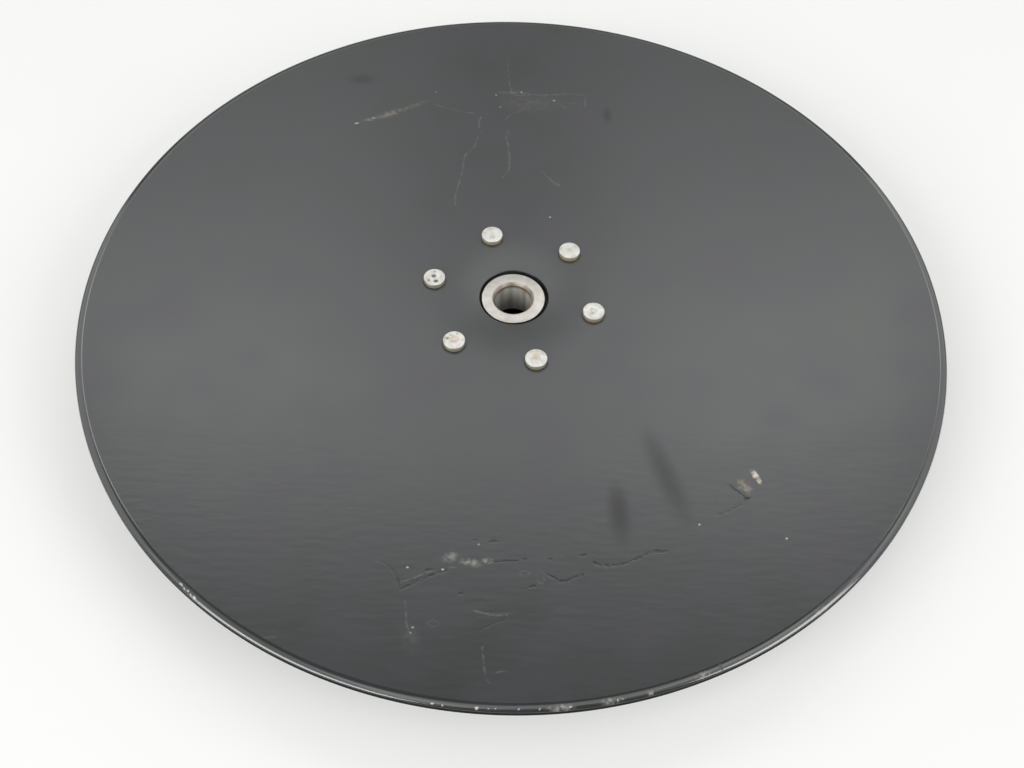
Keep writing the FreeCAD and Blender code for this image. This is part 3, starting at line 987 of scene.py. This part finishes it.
@dataclass(frozen=True)
class HonedBore(Finish):
    """Bearing steel honed and wiped with preserving oil.

    It gives the eye grey streaks that run down the bore, which are painted reflections of the lights, and
    a brown tinge of old oil round its mouth.
    """

    pale: str = "#c2c1ba"
    dull: str = "#77756f"
    oil: str = "#5f4a30"
    metal: float = 0.35
    roughness: float = 0.42
    roughness_spread: float = 0.06
    reflection_streak_mm: float = 6.0
    reflection_streak_stretch: float = 0.04
    reflection_streak_from: float = 0.38
    reflection_streak_to: float = 0.62
    mouth_mm: float = 28.3
    stain_reach_mm: float = 2.2
    stain_cover: float = 0.85

    def paint(self, tree: Tree, shader: Node, place: Socket) -> None:
        """Draw the painted reflection streaks and the oil.

        Args:
            tree: The material's node tree.
            shader: Its Principled shader.
            place: The point on the piece, in millimetres.
        """
        # Pale and dark streaks down the bore: painted reflections of the lights
        stretched = add_node(
            tree, "ShaderNodeVectorMath", {0: place, 1: (1.0, 1.0, self.reflection_streak_stretch)},
            operation="MULTIPLY",
        )
        streaks = add_node(
            tree, "ShaderNodeTexNoise",
            {"Vector": stretched.outputs[0], "Scale": 1 / self.reflection_streak_mm, "Detail": 1.0},
        ).outputs["Fac"]
        shade = add_node(
            tree, "ShaderNodeMapRange",
            {0: streaks, 1: self.reflection_streak_from, 2: self.reflection_streak_to, 3: 0.0, 4: 1.0},
        ).outputs[0]
        colour = add_node(
            tree, "ShaderNodeMix", {0: shade, 6: linear(self.dull), 7: linear(self.pale)},
            data_type="RGBA",
        ).outputs[2]
        parts = add_node(tree, "ShaderNodeSeparateXYZ", {0: place})
        offset = add_node(
            tree, "ShaderNodeMath", {0: parts.outputs[2], 1: self.mouth_mm}, operation="SUBTRACT"
        ).outputs[0]
        away = add_node(tree, "ShaderNodeMath", {0: offset}, operation="ABSOLUTE").outputs[0]
        stained = add_node(
            tree, "ShaderNodeMapRange",
            {0: away, 1: self.stain_reach_mm, 2: 0.0, 3: 0.0, 4: self.stain_cover},
            interpolation_type="SMOOTHSTEP",
        ).outputs[0]
        colour = add_node(
            tree, "ShaderNodeMix", {0: stained, 6: colour, 7: linear(self.oil)}, data_type="RGBA"
        ).outputs[2]
        tree.links.new(colour, shader.inputs["Base Color"])
        shader.inputs["Metallic"].default_value = self.metal
        smooth, rough = self.roughness - self.roughness_spread, self.roughness + self.roughness_spread
        vary_roughness(tree, shader, streaks, rough, smooth)


@dataclass(frozen=True)
class MouldedRubber(Finish):
    """Nitrile rubber or nylon from a mould.

    It gives the eye a dull near-black with a fine grain and hardly any shine.
    """

    dark: str = "#171716"
    pale: str = "#232321"
    roughness: float = 0.6
    roughness_spread: float = 0.08
    cloud_mm: float = 6.667
    grain_mm: float = 0.6
    grain_height_mm: float = 0.01

    def paint(self, tree: Tree, shader: Node, place: Socket) -> None:
        """Draw the moulded skin.

        Args:
            tree: The material's node tree.
            shader: Its Principled shader.
            place: The point on the piece, in millimetres.
        """
        grain = add_node(
            tree, "ShaderNodeTexNoise", {"Vector": place, "Scale": 1 / self.grain_mm, "Detail": 3.0}
        )
        cloud = add_node(
            tree, "ShaderNodeTexNoise", {"Vector": place, "Scale": 1 / self.cloud_mm, "Detail": 3.0}
        )
        colour = add_node(
            tree, "ShaderNodeMix", {0: cloud.outputs["Fac"], 6: linear(self.dark), 7: linear(self.pale)},
            data_type="RGBA",
        ).outputs[2]
        tree.links.new(colour, shader.inputs["Base Color"])
        smooth, rough = self.roughness - self.roughness_spread, self.roughness + self.roughness_spread
        vary_roughness(tree, shader, cloud.outputs["Fac"], smooth, rough)
        raise_relief(tree, shader, [(grain.outputs["Fac"], self.grain_height_mm)])


@dataclass(frozen=True)
class MatteBoard(Finish):
    """A pale board for the table.

    It gives the eye a pale matte white, barely uneven, and a faint glow of painted light that lifts the
    shade round the disc.
    """

    pale: str = "#b4b4b3"
    warm: str = "#b1b1af"
    roughness: float = 0.85
    specular_level: float = 0.2
    cloud_mm: float = 100.0
    painted_glow: float = 0.78

    def paint(self, tree: Tree, shader: Node, place: Socket) -> None:
        """Draw the board.

        Args:
            tree: The material's node tree.
            shader: Its Principled shader.
            place: The point on the board, in millimetres.
        """
        cloud = add_node(
            tree, "ShaderNodeTexNoise", {"Vector": place, "Scale": 1 / self.cloud_mm, "Detail": 3.0}
        )
        colour = add_node(
            tree, "ShaderNodeMix", {0: cloud.outputs["Fac"], 6: linear(self.pale), 7: linear(self.warm)},
            data_type="RGBA",
        ).outputs[2]
        tree.links.new(colour, shader.inputs["Base Color"])
        shader.inputs["Roughness"].default_value = self.roughness
        shader.inputs["Specular IOR Level"].default_value = self.specular_level
        # The board glows: painted light that lifts the shade on the table and under the disc
        shader.inputs["Emission Color"].default_value = linear(self.pale)
        shader.inputs["Emission Strength"].default_value = self.painted_glow


@dataclass
class Blade:
    """The flat disc with its rolled rim and ground bevel."""

    # The plate, its hole, its rim and its bevel
    low: float = 26.494
    high: float = 30.494
    hole_radius: float = 15.3
    hole_round: float = 0.35
    hole_shift: float = 0.3
    roll_radius: float = 5.0
    roll_angle: float = 30.0
    nose_radius: float = 1.3
    edge_land: float = 1.4
    bevel_width: float = 14.0
    bevel_blend: float = 12.0

    # The zones of enamel, and how each differs from the plain one
    rim_band: float = 5.0
    rim_roughness: float = 0.16
    rim_coat: float = 0.8
    near_ripple: float = 0.04
    hub_line: float = 58.0
    far_line: float = 35.0
    near_line: float = -60.0
    chip_line: float = 76.0
    gloss_above: float = 1.0
    dull_above: float = 0.1
    dull_angle: float = 26.0

    # The painted shade round each rivet head, shifted towards the camera
    shade_shift: float = 0.7
    shade_length: float = 5.1
    shade_width: float = 4.9
    shade_edge: float = 0.05
    shade_strength: float = 1.6

    # The mesh, with a narrow ring of faces that keeps the flat's shading off the roll
    flat_guard: float = 0.3
    rings: int = 8
    roll_steps: int = 12
    corner_steps: int = 4
    segments: int = 512

    def rim_radius(self) -> float:
        """Return the largest radius that stays inside the CAD blade's box."""
        lowest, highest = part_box("blade")
        return min(highest[0] - lowest[0], highest[1] - lowest[1]) / 2 / MM

    def arc_centres(self) -> tuple[tuple[float, float], tuple[float, float]]:
        """Place the two arcs that roll the face over into the rim.

        Returns:
            The centres of the wide arc and of the nose, each as a radius and a height.
        """
        reach = self.roll_radius - self.nose_radius
        roll = math.radians(self.roll_angle)
        nose = self.rim_radius() - self.nose_radius
        height = self.high - self.roll_radius
        return (nose - reach * math.sin(roll), height), (nose, height + reach * math.cos(roll))

    def section(self) -> Section:
        """Draw the half section, from the hole outwards over the face and back underneath.

        Returns:
            The section's points.
        """
        rim = self.rim_radius()
        roll_centre, nose_centre = self.arc_centres()
        edge_low = nose_centre[1] - self.edge_land
        slope = math.atan((edge_low - self.low) / self.bevel_width)
        flat_end = rim - self.bevel_width - self.bevel_blend * math.tan(slope / 2)
        hole_edge = self.hole_radius + self.hole_round
        ring_width = (roll_centre[0] - hole_edge) / self.rings
        underside = self.low + self.bevel_blend
        bevel_start = -90 + math.degrees(slope)
        points = arc(
            (hole_edge, self.high - self.hole_round), self.hole_round, 180, 90, self.corner_steps
        )
        points += [(hole_edge + step * ring_width, self.high) for step in range(1, self.rings)]
        points.append((roll_centre[0] - self.flat_guard, self.high))
        points += arc(roll_centre, self.roll_radius, 90, 90 - self.roll_angle, self.roll_steps)
        points += arc(nose_centre, self.nose_radius, 90 - self.roll_angle, 0, self.roll_steps)[1:]
        points.append((rim, edge_low))
        points += arc((flat_end, underside), self.bevel_blend, bevel_start, -90, self.corner_steps)
        points += arc(
            (hole_edge, self.low + self.hole_round), self.hole_round, 270, 180, self.corner_steps
        )
        return points

    def shift_hole(self, piece: Piece) -> None:
        """Move the hole a little off the axis, as a punched hole is.

        Args:
            piece: The turned blade.
        """
        select_only(piece)
        bpy.ops.object.mode_set(mode="EDIT")
        bpy.ops.mesh.select_all(action="DESELECT")
        bpy.ops.object.mode_set(mode="OBJECT")
        reach = (self.hole_radius + 2 * self.hole_round) * MM
        for vertex in piece.data.vertices:
            vertex.select = vertex.co.xy.length < reach
        bpy.ops.object.mode_set(mode="EDIT")
        bpy.ops.transform.translate(value=(self.hole_shift * MM, 0, 0))
        bpy.ops.object.mode_set(mode="OBJECT")

    def painted_rivet_shade(self) -> Wear:
        """Paint shade on the enamel round the rivet heads.

        Returns:
            A dark spot of painted shade under each head, a little wider than the head.
        """
        spots = tuple(
            Patch(
                x, y - self.shade_shift, self.shade_length, self.shade_width, 0, self.shade_edge,
                self.shade_strength,
            )
            for x, y in Rivets().places()
        )
        return ((Trace.DARK_PATCH_AND_SHADE, spots),)

    def coats(self) -> list[tuple[SprayedEnamel, Callable[[Vector], bool]]]:
        """Choose the enamel of each zone of the blade.

        Returns:
            Each zone's enamel and the test for its faces. A later zone lies over an earlier one.
        """
        top = self.high - self.hole_round / 2
        rim = self.rim_radius() - self.rim_band
        edge_top = self.arc_centres()[1][1] + self.nose_radius * math.sin(math.radians(self.dull_angle))

        def on_face(middle: Vector) -> bool:
            """Tell whether a face's middle is on the flat top."""
            return middle.z > top and middle.xy.length < rim

        def on_near_side(middle: Vector) -> bool:
            """Tell whether a face's middle is on the flat top near the camera."""
            return on_face(middle) and middle.y < self.near_line

        def on_edge(middle: Vector, low: float, high: float) -> bool:
            """Tell whether a face's middle is on the rim between two heights."""
            return middle.xy.length >= rim and low < middle.z < high

        return [
            # Enamel round the hub, with painted shade round the rivet heads
            (SprayedEnamel("black_enamel_painted_shade_round_rivets", wear=self.painted_rivet_shade()),
             lambda middle: on_face(middle) and middle.xy.length < self.hub_line),
            (SprayedEnamel("black_enamel_tide_marks", wear=FAR_WEAR),
             lambda middle: on_face(middle) and middle.y > self.far_line),
            # Wrinkled paint near the camera, with painted highlight on its ridges and painted shade in
            # its furrows
            (SprayedEnamel("black_enamel_wrinkled", ripple_height_mm=self.near_ripple, wear=NEAR_WEAR),
             on_near_side),
            (SprayedEnamel("black_enamel_chipped", ripple_height_mm=self.near_ripple, wear=CHIPPED_WEAR),
             lambda middle: on_near_side(middle) and middle.x > self.chip_line),
            # Thick paint that shines where it ran over the roll
            (SprayedEnamel(
                "black_enamel_glossy_rim", roughness=self.rim_roughness, gloss_coat=self.rim_coat,
                wear=RIM_WEAR,
            ), lambda middle: on_edge(middle, self.low + self.gloss_above, math.inf)),
            # Dull enamel on the edge below the roll, made darker as painted shade under the rim
            (SprayedEnamel(
                "black_enamel_dull_shaded_edge", dark="#0c0c0c", pale="#141413", roughness=0.7,
                specular_level=0.1,
            ), lambda middle: on_edge(middle, self.low + self.dull_above, edge_top)),
        ]

    def build(self) -> None:
        """Turn the blade and paint it."""
        piece = turn("painted_blade", self.section(), self.segments, Ends.BRIDGED)
        seat(piece, SprayedEnamel("black_sprayed_enamel").material(), "blade_paint", DISC_BODY, "blade")
        self.shift_hole(piece)
        for finish, belongs in self.coats():
            cover_faces(piece, finish.material(), belongs)


@dataclass
class Rivets:
    """Six rivets with flat, dimpled heads on the blade and button heads on the flange."""

    circle_radius: float = 36.5
    start_angle: float = 45.5
    count: int = 6
    face: float = 30.494
    flange: float = 23.494
    head_radius: float = 4.8
    head_height: float = 2.2
    head_corner: float = 0.3
    dimple_radius: float = 1.3
    dimple_depth: float = 0.12
    shank_radius: float = 3.15
    button_radius: float = 6.0
    button_height: float = 3.2
    bright_top: float = 0.35
    crown_steps: int = 12
    corner_steps: int = 6
    segments: int = 96

    def section(self) -> Section:
        """Draw the half section from the button's crown up to the dimple.

        Returns:
            The section's points.
        """
        crown = (self.button_radius ** 2 + self.button_height ** 2) / (2 * self.button_height)
        crown_centre = self.flange - self.button_height + crown
        button_edge = math.degrees(math.asin(self.button_radius / crown))
        bowl = (self.dimple_radius ** 2 + self.dimple_depth ** 2) / (2 * self.dimple_depth)
        top = self.face + self.head_height
        bowl_centre = top - self.dimple_depth + bowl
        bowl_edge = math.degrees(math.asin(self.dimple_radius / bowl))
        corner = (self.head_radius - self.head_corner, top - self.head_corner)
        points = arc((0, crown_centre), crown, -90, -90 + button_edge, self.crown_steps)[1:]
        points += [(self.shank_radius, self.flange), (self.shank_radius, self.face)]
        points.append((self.head_radius, self.face))
        points += arc(corner, self.head_corner, 0, 90, self.corner_steps)
        points += arc((0, bowl_centre), bowl, -90 + bowl_edge, -90, self.corner_steps)[:-1]
        return points

    def places(self) -> list[tuple[float, float]]:
        """Place the rivets round their circle.

        Returns:
            The centre of each rivet.
        """
        centres = []
        for index in range(self.count):
            angle = math.radians(self.start_angle + 360 / self.count * index)
            centres.append((self.circle_radius * math.cos(angle), self.circle_radius * math.sin(angle)))
        return centres

    def finish(self, number: int, x: float, y: float) -> ZincPlate:
        """Choose the plating of one rivet, with the marks and the painted dimple shade on its own head.

        Args:
            number: The rivet's number.
            x: How far right the rivet's centre is.
            y: How far away from the camera it is.

        Returns:
            The finish.
        """
        # The dark patches on rivets 1, 2 and 6 are painted shade in the head's dimple, and those on
        # rivets 3 and 4 are flecks of paint left on the head
        specks_and_dimple_shade: dict[int, tuple[Patch, ...]] = {
            1: (Patch(x, y + 0.4, 1.1, 0.9, 0, 0.6, 0.24),),
            2: (Patch(x + 0.2, y + 0.6, 0.9, 0.7, 0, 0.6, 0.18),),
            3: (
                Patch(x - 0.3, y + 0.6, 1.1, 0.8, 0, 0.4, 0.75),
                Patch(x + 0.75, y - 2.4, 1.0, 0.8, 20, 0.4, 0.8),
                Patch(x - 2.4, y - 1.9, 0.6, 0.45, 0, 0.5, 0.75),
                Patch(x, y + 3.0, 0.4, 0.35, 0, 0.5, 0.6),
                Patch(x + 2.9, y + 0.2, 0.4, 0.7, 0, 0.5, 0.25),
            ),
            4: (
                Patch(x - 2.9, y + 0.8, 0.8, 0.6, 30, 0.5, 0.6),
                Patch(x - 1.6, y + 2.6, 0.7, 0.4, 30, 0.5, 0.3),
                Patch(x + 1.2, y + 3.3, 0.4, 0.3, 0, 0.5, 0.6),
            ),
            6: (
                Patch(x - 0.8, y + 0.9, 0.8, 0.6, 20, 0.6, 0.24),
                Patch(x + 0.9, y + 0.2, 0.6, 0.9, 0, 0.6, 0.22),
                Patch(x - 0.4, y - 1.4, 0.9, 0.5, 10, 0.6, 0.20),
            ),
        }
        tans: dict[int, tuple[Patch, ...]] = {
            4: (Patch(x + 0.3, y + 0.4, 2.1, 2.0, 0, 0.15, 0.35),),
            5: (Patch(x + 0.3, y + 0.8, 1.7, 1.7, 0, 0.15, 0.38),),
        }
        return ZincPlate(
            f"zinc_plated_rivet_{number}",
            yellow_below_mm=self.face + self.head_height - self.bright_top,
            specks_and_dimple_shade=specks_and_dimple_shade.get(number, ()), tan_spots=tans.get(number, ()),
        )

    def build(self) -> None:
        """Turn one rivet, copy it round the circle and plate each one."""
        first = turn("rivet_head_1", self.section(), self.segments, Ends.POINTED)
        pieces = [first] + [copy_of(first, f"rivet_head_{number}") for number in range(2, self.count + 1)]
        for number, (piece, (x, y)) in enumerate(zip(pieces, self.places()), start=1):
            move_mesh(piece, (x, y, 0))
            seat(piece, self.finish(number, x, y).material(), "rivet_steel", DISC_BODY, f"rivet_{number}")


@dataclass
class Bearing:
    """The sealed ball bearing. Its inner ring is turned here and the rest keeps its CAD shape."""

    low: float = 11.0
    high: float = 29.669
    middle: float = 18.747
    bore_radius: float = 8.128
    bore_chamfer: float = 1.2
    land_radius: float = 14.05
    edge_round: float = 0.2
    raceway_low: float = 12.76
    raceway_radius: float = 4.128
    mouth_guard: float = 0.1
    ball_count: int = 8
    raceway_steps: int = 16
    corner_steps: int = 4
    segments: int = 192

    def section(self) -> Section:
        """Draw the inner ring's half section, from its raceway round the bore and back.

        Returns:
            The section's points.
        """
        centre = (self.raceway_low + self.raceway_radius, self.middle)
        reach = math.degrees(math.acos((centre[0] - self.land_radius) / self.raceway_radius))
        shoulder = self.edge_round
        shoulder_radius = self.land_radius - shoulder
        points = arc(centre, self.raceway_radius, 180 - reach, 180 + reach, self.raceway_steps)
        points += arc((shoulder_radius, self.low + shoulder), shoulder, 0, -90, self.corner_steps)
        points += [
            (self.bore_radius + self.bore_chamfer, self.low),
            (self.bore_radius, self.low + self.bore_chamfer),
            (self.bore_radius, self.high - self.bore_chamfer),
            (self.bore_radius + self.bore_chamfer, self.high),
        ]
        points += arc((shoulder_radius, self.high - shoulder), shoulder, 90, 0, self.corner_steps)
        return points

    def build(self) -> None:
        """Turn the inner ring and dress the bearing."""
        ring = turn("ground_inner_ring", self.section(), self.segments, Ends.BRIDGED)
        ground = GroundSteel("ground_bearing_steel").material()
        seat(ring, ground, "bearing_steel", AXLE_BODY, "inner_ring")
        mouth = self.bore_radius + self.bore_chamfer - self.mouth_guard
        honed = HonedBore("honed_bore_steel").material()
        cover_faces(ring, honed, lambda middle: middle.xy.length < mouth)
        dress_node("outer_ring", GroundSteel("ground_outer_ring_steel").material())
        rubber = MouldedRubber("moulded_nitrile_seal").material()
        for name in ("seal_upper", "seal_lower"):
            dress_node(name, rubber)
        # Strip steel from a press, greyer than the ground rings
        ribbon = GroundSteel(
            "pressed_cage_steel", pale="#a9aaab", dull="#8e8f91", roughness=0.33, groove_mm=0.5
        ).material()
        for name in ("cage_upper", "cage_lower", "cage_rivets"):
            dress_node(name, ribbon)
        # Balls lapped to a mirror, with hardly any marks left
        polished = GroundSteel(
            "polished_ball_steel", pale="#c3c3c2", dull="#b5b5b4", roughness=0.1, groove_height_mm=0.0002
        ).material()
        for number in range(1, self.ball_count + 1):
            dress_node(f"ball_{number}", polished)


@dataclass
class Housing:
    """The pressed cup that clamps the bearing under the blade."""

    low: float = 8.0
    ring_low: float = 11.0
    flange_low: float = 23.494
    blade_low: float = 26.494
    seat_radius: float = 22.625
    sheet: float = 3.0
    lip_radius: float = 18.5125
    flange_radius: float = 46.0
    flange_corner: float = 0.8
    draw_radius: float = 3.5
    lip_corner: float = 2.5
    lip_round: float = 0.3
    seat_round: float = 0.45
    corner_steps: int = 6
    segments: int = 256

    def section(self) -> Section:
        """Draw the half section of the cup and its flange.

        Returns:
            The section's points.
        """
        outside = self.seat_radius + self.sheet
        return rounded([
            (self.lip_radius, self.low, self.lip_round),
            (outside, self.low, self.lip_corner),
            (outside, self.flange_low, self.draw_radius),
            (self.flange_radius, self.flange_low, self.flange_corner),
            (self.flange_radius, self.blade_low, self.flange_corner),
            (self.seat_radius, self.blade_low, self.seat_round),
            (self.seat_radius, self.ring_low, self.seat_round),
            (self.lip_radius, self.ring_low, self.lip_round),
        ], self.corner_steps)

    def build(self) -> None:
        """Turn the housing and plate it."""
        piece = turn("pressed_housing", self.section(), self.segments, Ends.BRIDGED)
        # Plated sheet, with broader and smoother clouds than the rivets have
        plating = ZincPlate("zinc_plated_pressing", roughness=0.36, cloud_mm=7.0, grain_mm=0.9)
        seat(piece, plating.material(), "zinc_plate", DISC_BODY, "bearing_housing")


@dataclass
class DustCap:
    """The moulded cap that closes the hub and that the disc rests on."""

    height: float = 8.0
    wall: float = 1.4
    flange_radius: float = 22.4125
    flange_thickness: float = 1.6
    shoulder: float = 2.0
    draft: float = 1.0
    corner: float = 2.2
    edge_round: float = 0.4
    inside_round: float = 1.0
    spigot_radius: float = 18.4625
    spigot_depth: float = 2.4
    centre_radius: float = 0.5
    corner_steps: int = 6
    segments: int = 192

    def section(self) -> Section:
        """Draw the half section from the resting face round to the inside floor.

        Returns:
            The section's points. Its two ends stop short of the axis, where the cap is closed.
        """
        flange_low = self.height - self.flange_thickness
        shoulder_radius = self.flange_radius - self.shoulder
        inside = self.spigot_radius - self.wall
        spigot_top = self.height + self.spigot_depth
        return rounded([
            (self.centre_radius, 0, 0),
            (shoulder_radius - self.draft, 0, self.corner),
            (shoulder_radius, flange_low, self.edge_round),
            (self.flange_radius, flange_low, self.edge_round),
            (self.flange_radius, self.height, self.edge_round),
            (self.spigot_radius, self.height, 0),
            (self.spigot_radius, spigot_top, self.edge_round),
            (inside, spigot_top, 0),
            (inside, self.wall, self.inside_round),
            (self.centre_radius, self.wall, 0),
        ], self.corner_steps)

    def build(self) -> None:
        """Turn the cap and dress it."""
        piece = turn("moulded_cap", self.section(), self.segments, Ends.POINTED)
        # Nylon, a little paler and smoother than the rubber of the seals
        nylon = MouldedRubber(
            "moulded_nylon_cap", dark="#2e2e2d", pale="#3a3a38", roughness=0.45, grain_mm=1.1
        )
        seat(piece, nylon.material(), "black_plastic", DISC_BODY, "dust_cap")


@dataclass(frozen=True)
class Panel:
    """A soft light panel, by its direction from the disc, its size and its brightness.

    The azimuth and elevation are in degrees, the distance and the size in metres.
    """

    name: str
    azimuth: float
    elevation: float
    distance: float
    width: float
    height: float
    radiance: float

    def place(self) -> None:
        """Add the panel so that it faces the disc."""
        azimuth = math.radians(self.azimuth)
        elevation = math.radians(self.elevation)
        outward = Vector((
            math.sin(azimuth) * math.cos(elevation),
            math.cos(azimuth) * math.cos(elevation),
            math.sin(elevation),
        ))
        bpy.ops.object.light_add(type="AREA", location=outward * self.distance)
        light = bpy.context.active_object
        light.name = self.name
        light.data.shape = "RECTANGLE"
        light.data.size = self.width
        light.data.size_y = self.height
        light.data.energy = self.radiance * self.width * self.height * math.pi
        light.rotation_euler = outward.to_track_quat("Z", "Y").to_euler()
        light.visible_camera = False


@dataclass
class Studio:
    """The pale table, the soft lights and the camera.

    The table's size is in metres, and the camera's place and lens are in millimetres.
    """

    table_size: float = 12.0
    air: str = "#ffffff"
    air_strength: float = 0.12
    lens: float = 43.446
    sensor_width: float = 36.0
    camera_place: tuple[float, float, float] = (-8.4, -348.9, 456.6)
    camera_right: tuple[float, float, float] = (0.99982, 0.00074, 0.01894)
    camera_up: tuple[float, float, float] = (-0.01154, 0.81641, 0.57736)

    # The far panels are what the blade's face mirrors, and the near and side ones light its rim
    panels: tuple[Panel, ...] = (
        Panel("far_strip", 0, 59.5, 2.0, 1.7, 0.4, 2.44),
        Panel("far_high_strip", 0, 67, 2.0, 1.7, 0.25, 0.2),
        Panel("far_left_box", -24, 50, 2.0, 0.8, 0.4, 1.62),
        Panel("far_right_box", 24, 50, 2.0, 0.8, 0.4, 1.7),
        Panel("far_low_left_box", -20, 41, 2.0, 0.8, 0.3, 0.68),
        Panel("far_low_right_box", 20, 41, 2.0, 0.8, 0.3, 0.68),
        Panel("far_fill", 0, 34, 2.2, 2.4, 0.8, 0.5),
        Panel("overhead_softbox", 155, 76, 2.0, 2.2, 0.9, 1.0),
        Panel("near_left_box", -136, 32, 2.0, 1.5, 1.0, 6.0),
        Panel("near_right_box", 121, 32, 2.0, 1.0, 1.0, 5.6),
        Panel("left_wall", -70, 33, 2.2, 2.4, 1.6, 0.95),
        Panel("right_wall", 66, 33, 2.2, 2.4, 1.6, 0.95),
        Panel("near_left_fill", -125, 60, 2.0, 1.8, 1.0, 0.6),
        Panel("near_right_fill", 105, 57, 2.0, 1.8, 1.0, 0.6),
    )

    def build_table(self) -> None:
        """Lay the table under the disc."""
        bpy.ops.object.select_all(action="DESELECT")
        bpy.ops.mesh.primitive_plane_add(size=self.table_size, location=(0, 0, 0))
        table = bpy.context.active_object
        table.name = "table"
        table.data.materials.append(MatteBoard("pale_table_board_with_painted_glow").material())

    def light(self) -> None:
        """Set the even room light and the panels."""
        world = bpy.data.worlds.new("studio_air")
        bpy.context.scene.world = world
        world.use_nodes = True
        background = next(node for node in world.node_tree.nodes if node.type == "BACKGROUND")
        background.inputs["Color"].default_value = linear(self.air)
        background.inputs["Strength"].default_value = self.air_strength
        for panel in self.panels:
            panel.place()

    def place_camera(self) -> None:
        """Set the camera at the photograph's angle."""
        bpy.ops.object.camera_add()
        camera = bpy.context.active_object
        camera.name = "studio_camera"
        right = Vector(self.camera_right).normalized()
        up = Vector(self.camera_up).normalized()
        back = right.cross(up)
        turned = Matrix((right, up, back)).transposed().to_4x4()
        camera.matrix_world = Matrix.Translation(Vector(self.camera_place) * MM) @ turned
        camera.data.lens = self.lens
        camera.data.sensor_width = self.sensor_width
        bpy.context.scene.camera = camera

    def build(self) -> None:
        """Set up the whole studio."""
        self.build_table()
        self.light()
        self.place_camera()
        bpy.context.scene.view_settings.view_transform = "Standard"
        log.info("studio: %d soft panels", len(self.panels))


def save_boxes() -> None:
    """Bring the scene's transforms up to date."""
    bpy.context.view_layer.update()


def main() -> None:
    """Build every sub-assembly and the studio."""
    logging.basicConfig(level=logging.INFO, format="%(name)s %(message)s")
    Studio().build()
    for sub_assembly in (Blade(), Rivets(), Bearing(), Housing(), DustCap()):
        sub_assembly.build()
    save_boxes()


if __name__ == "__main__":
    main()
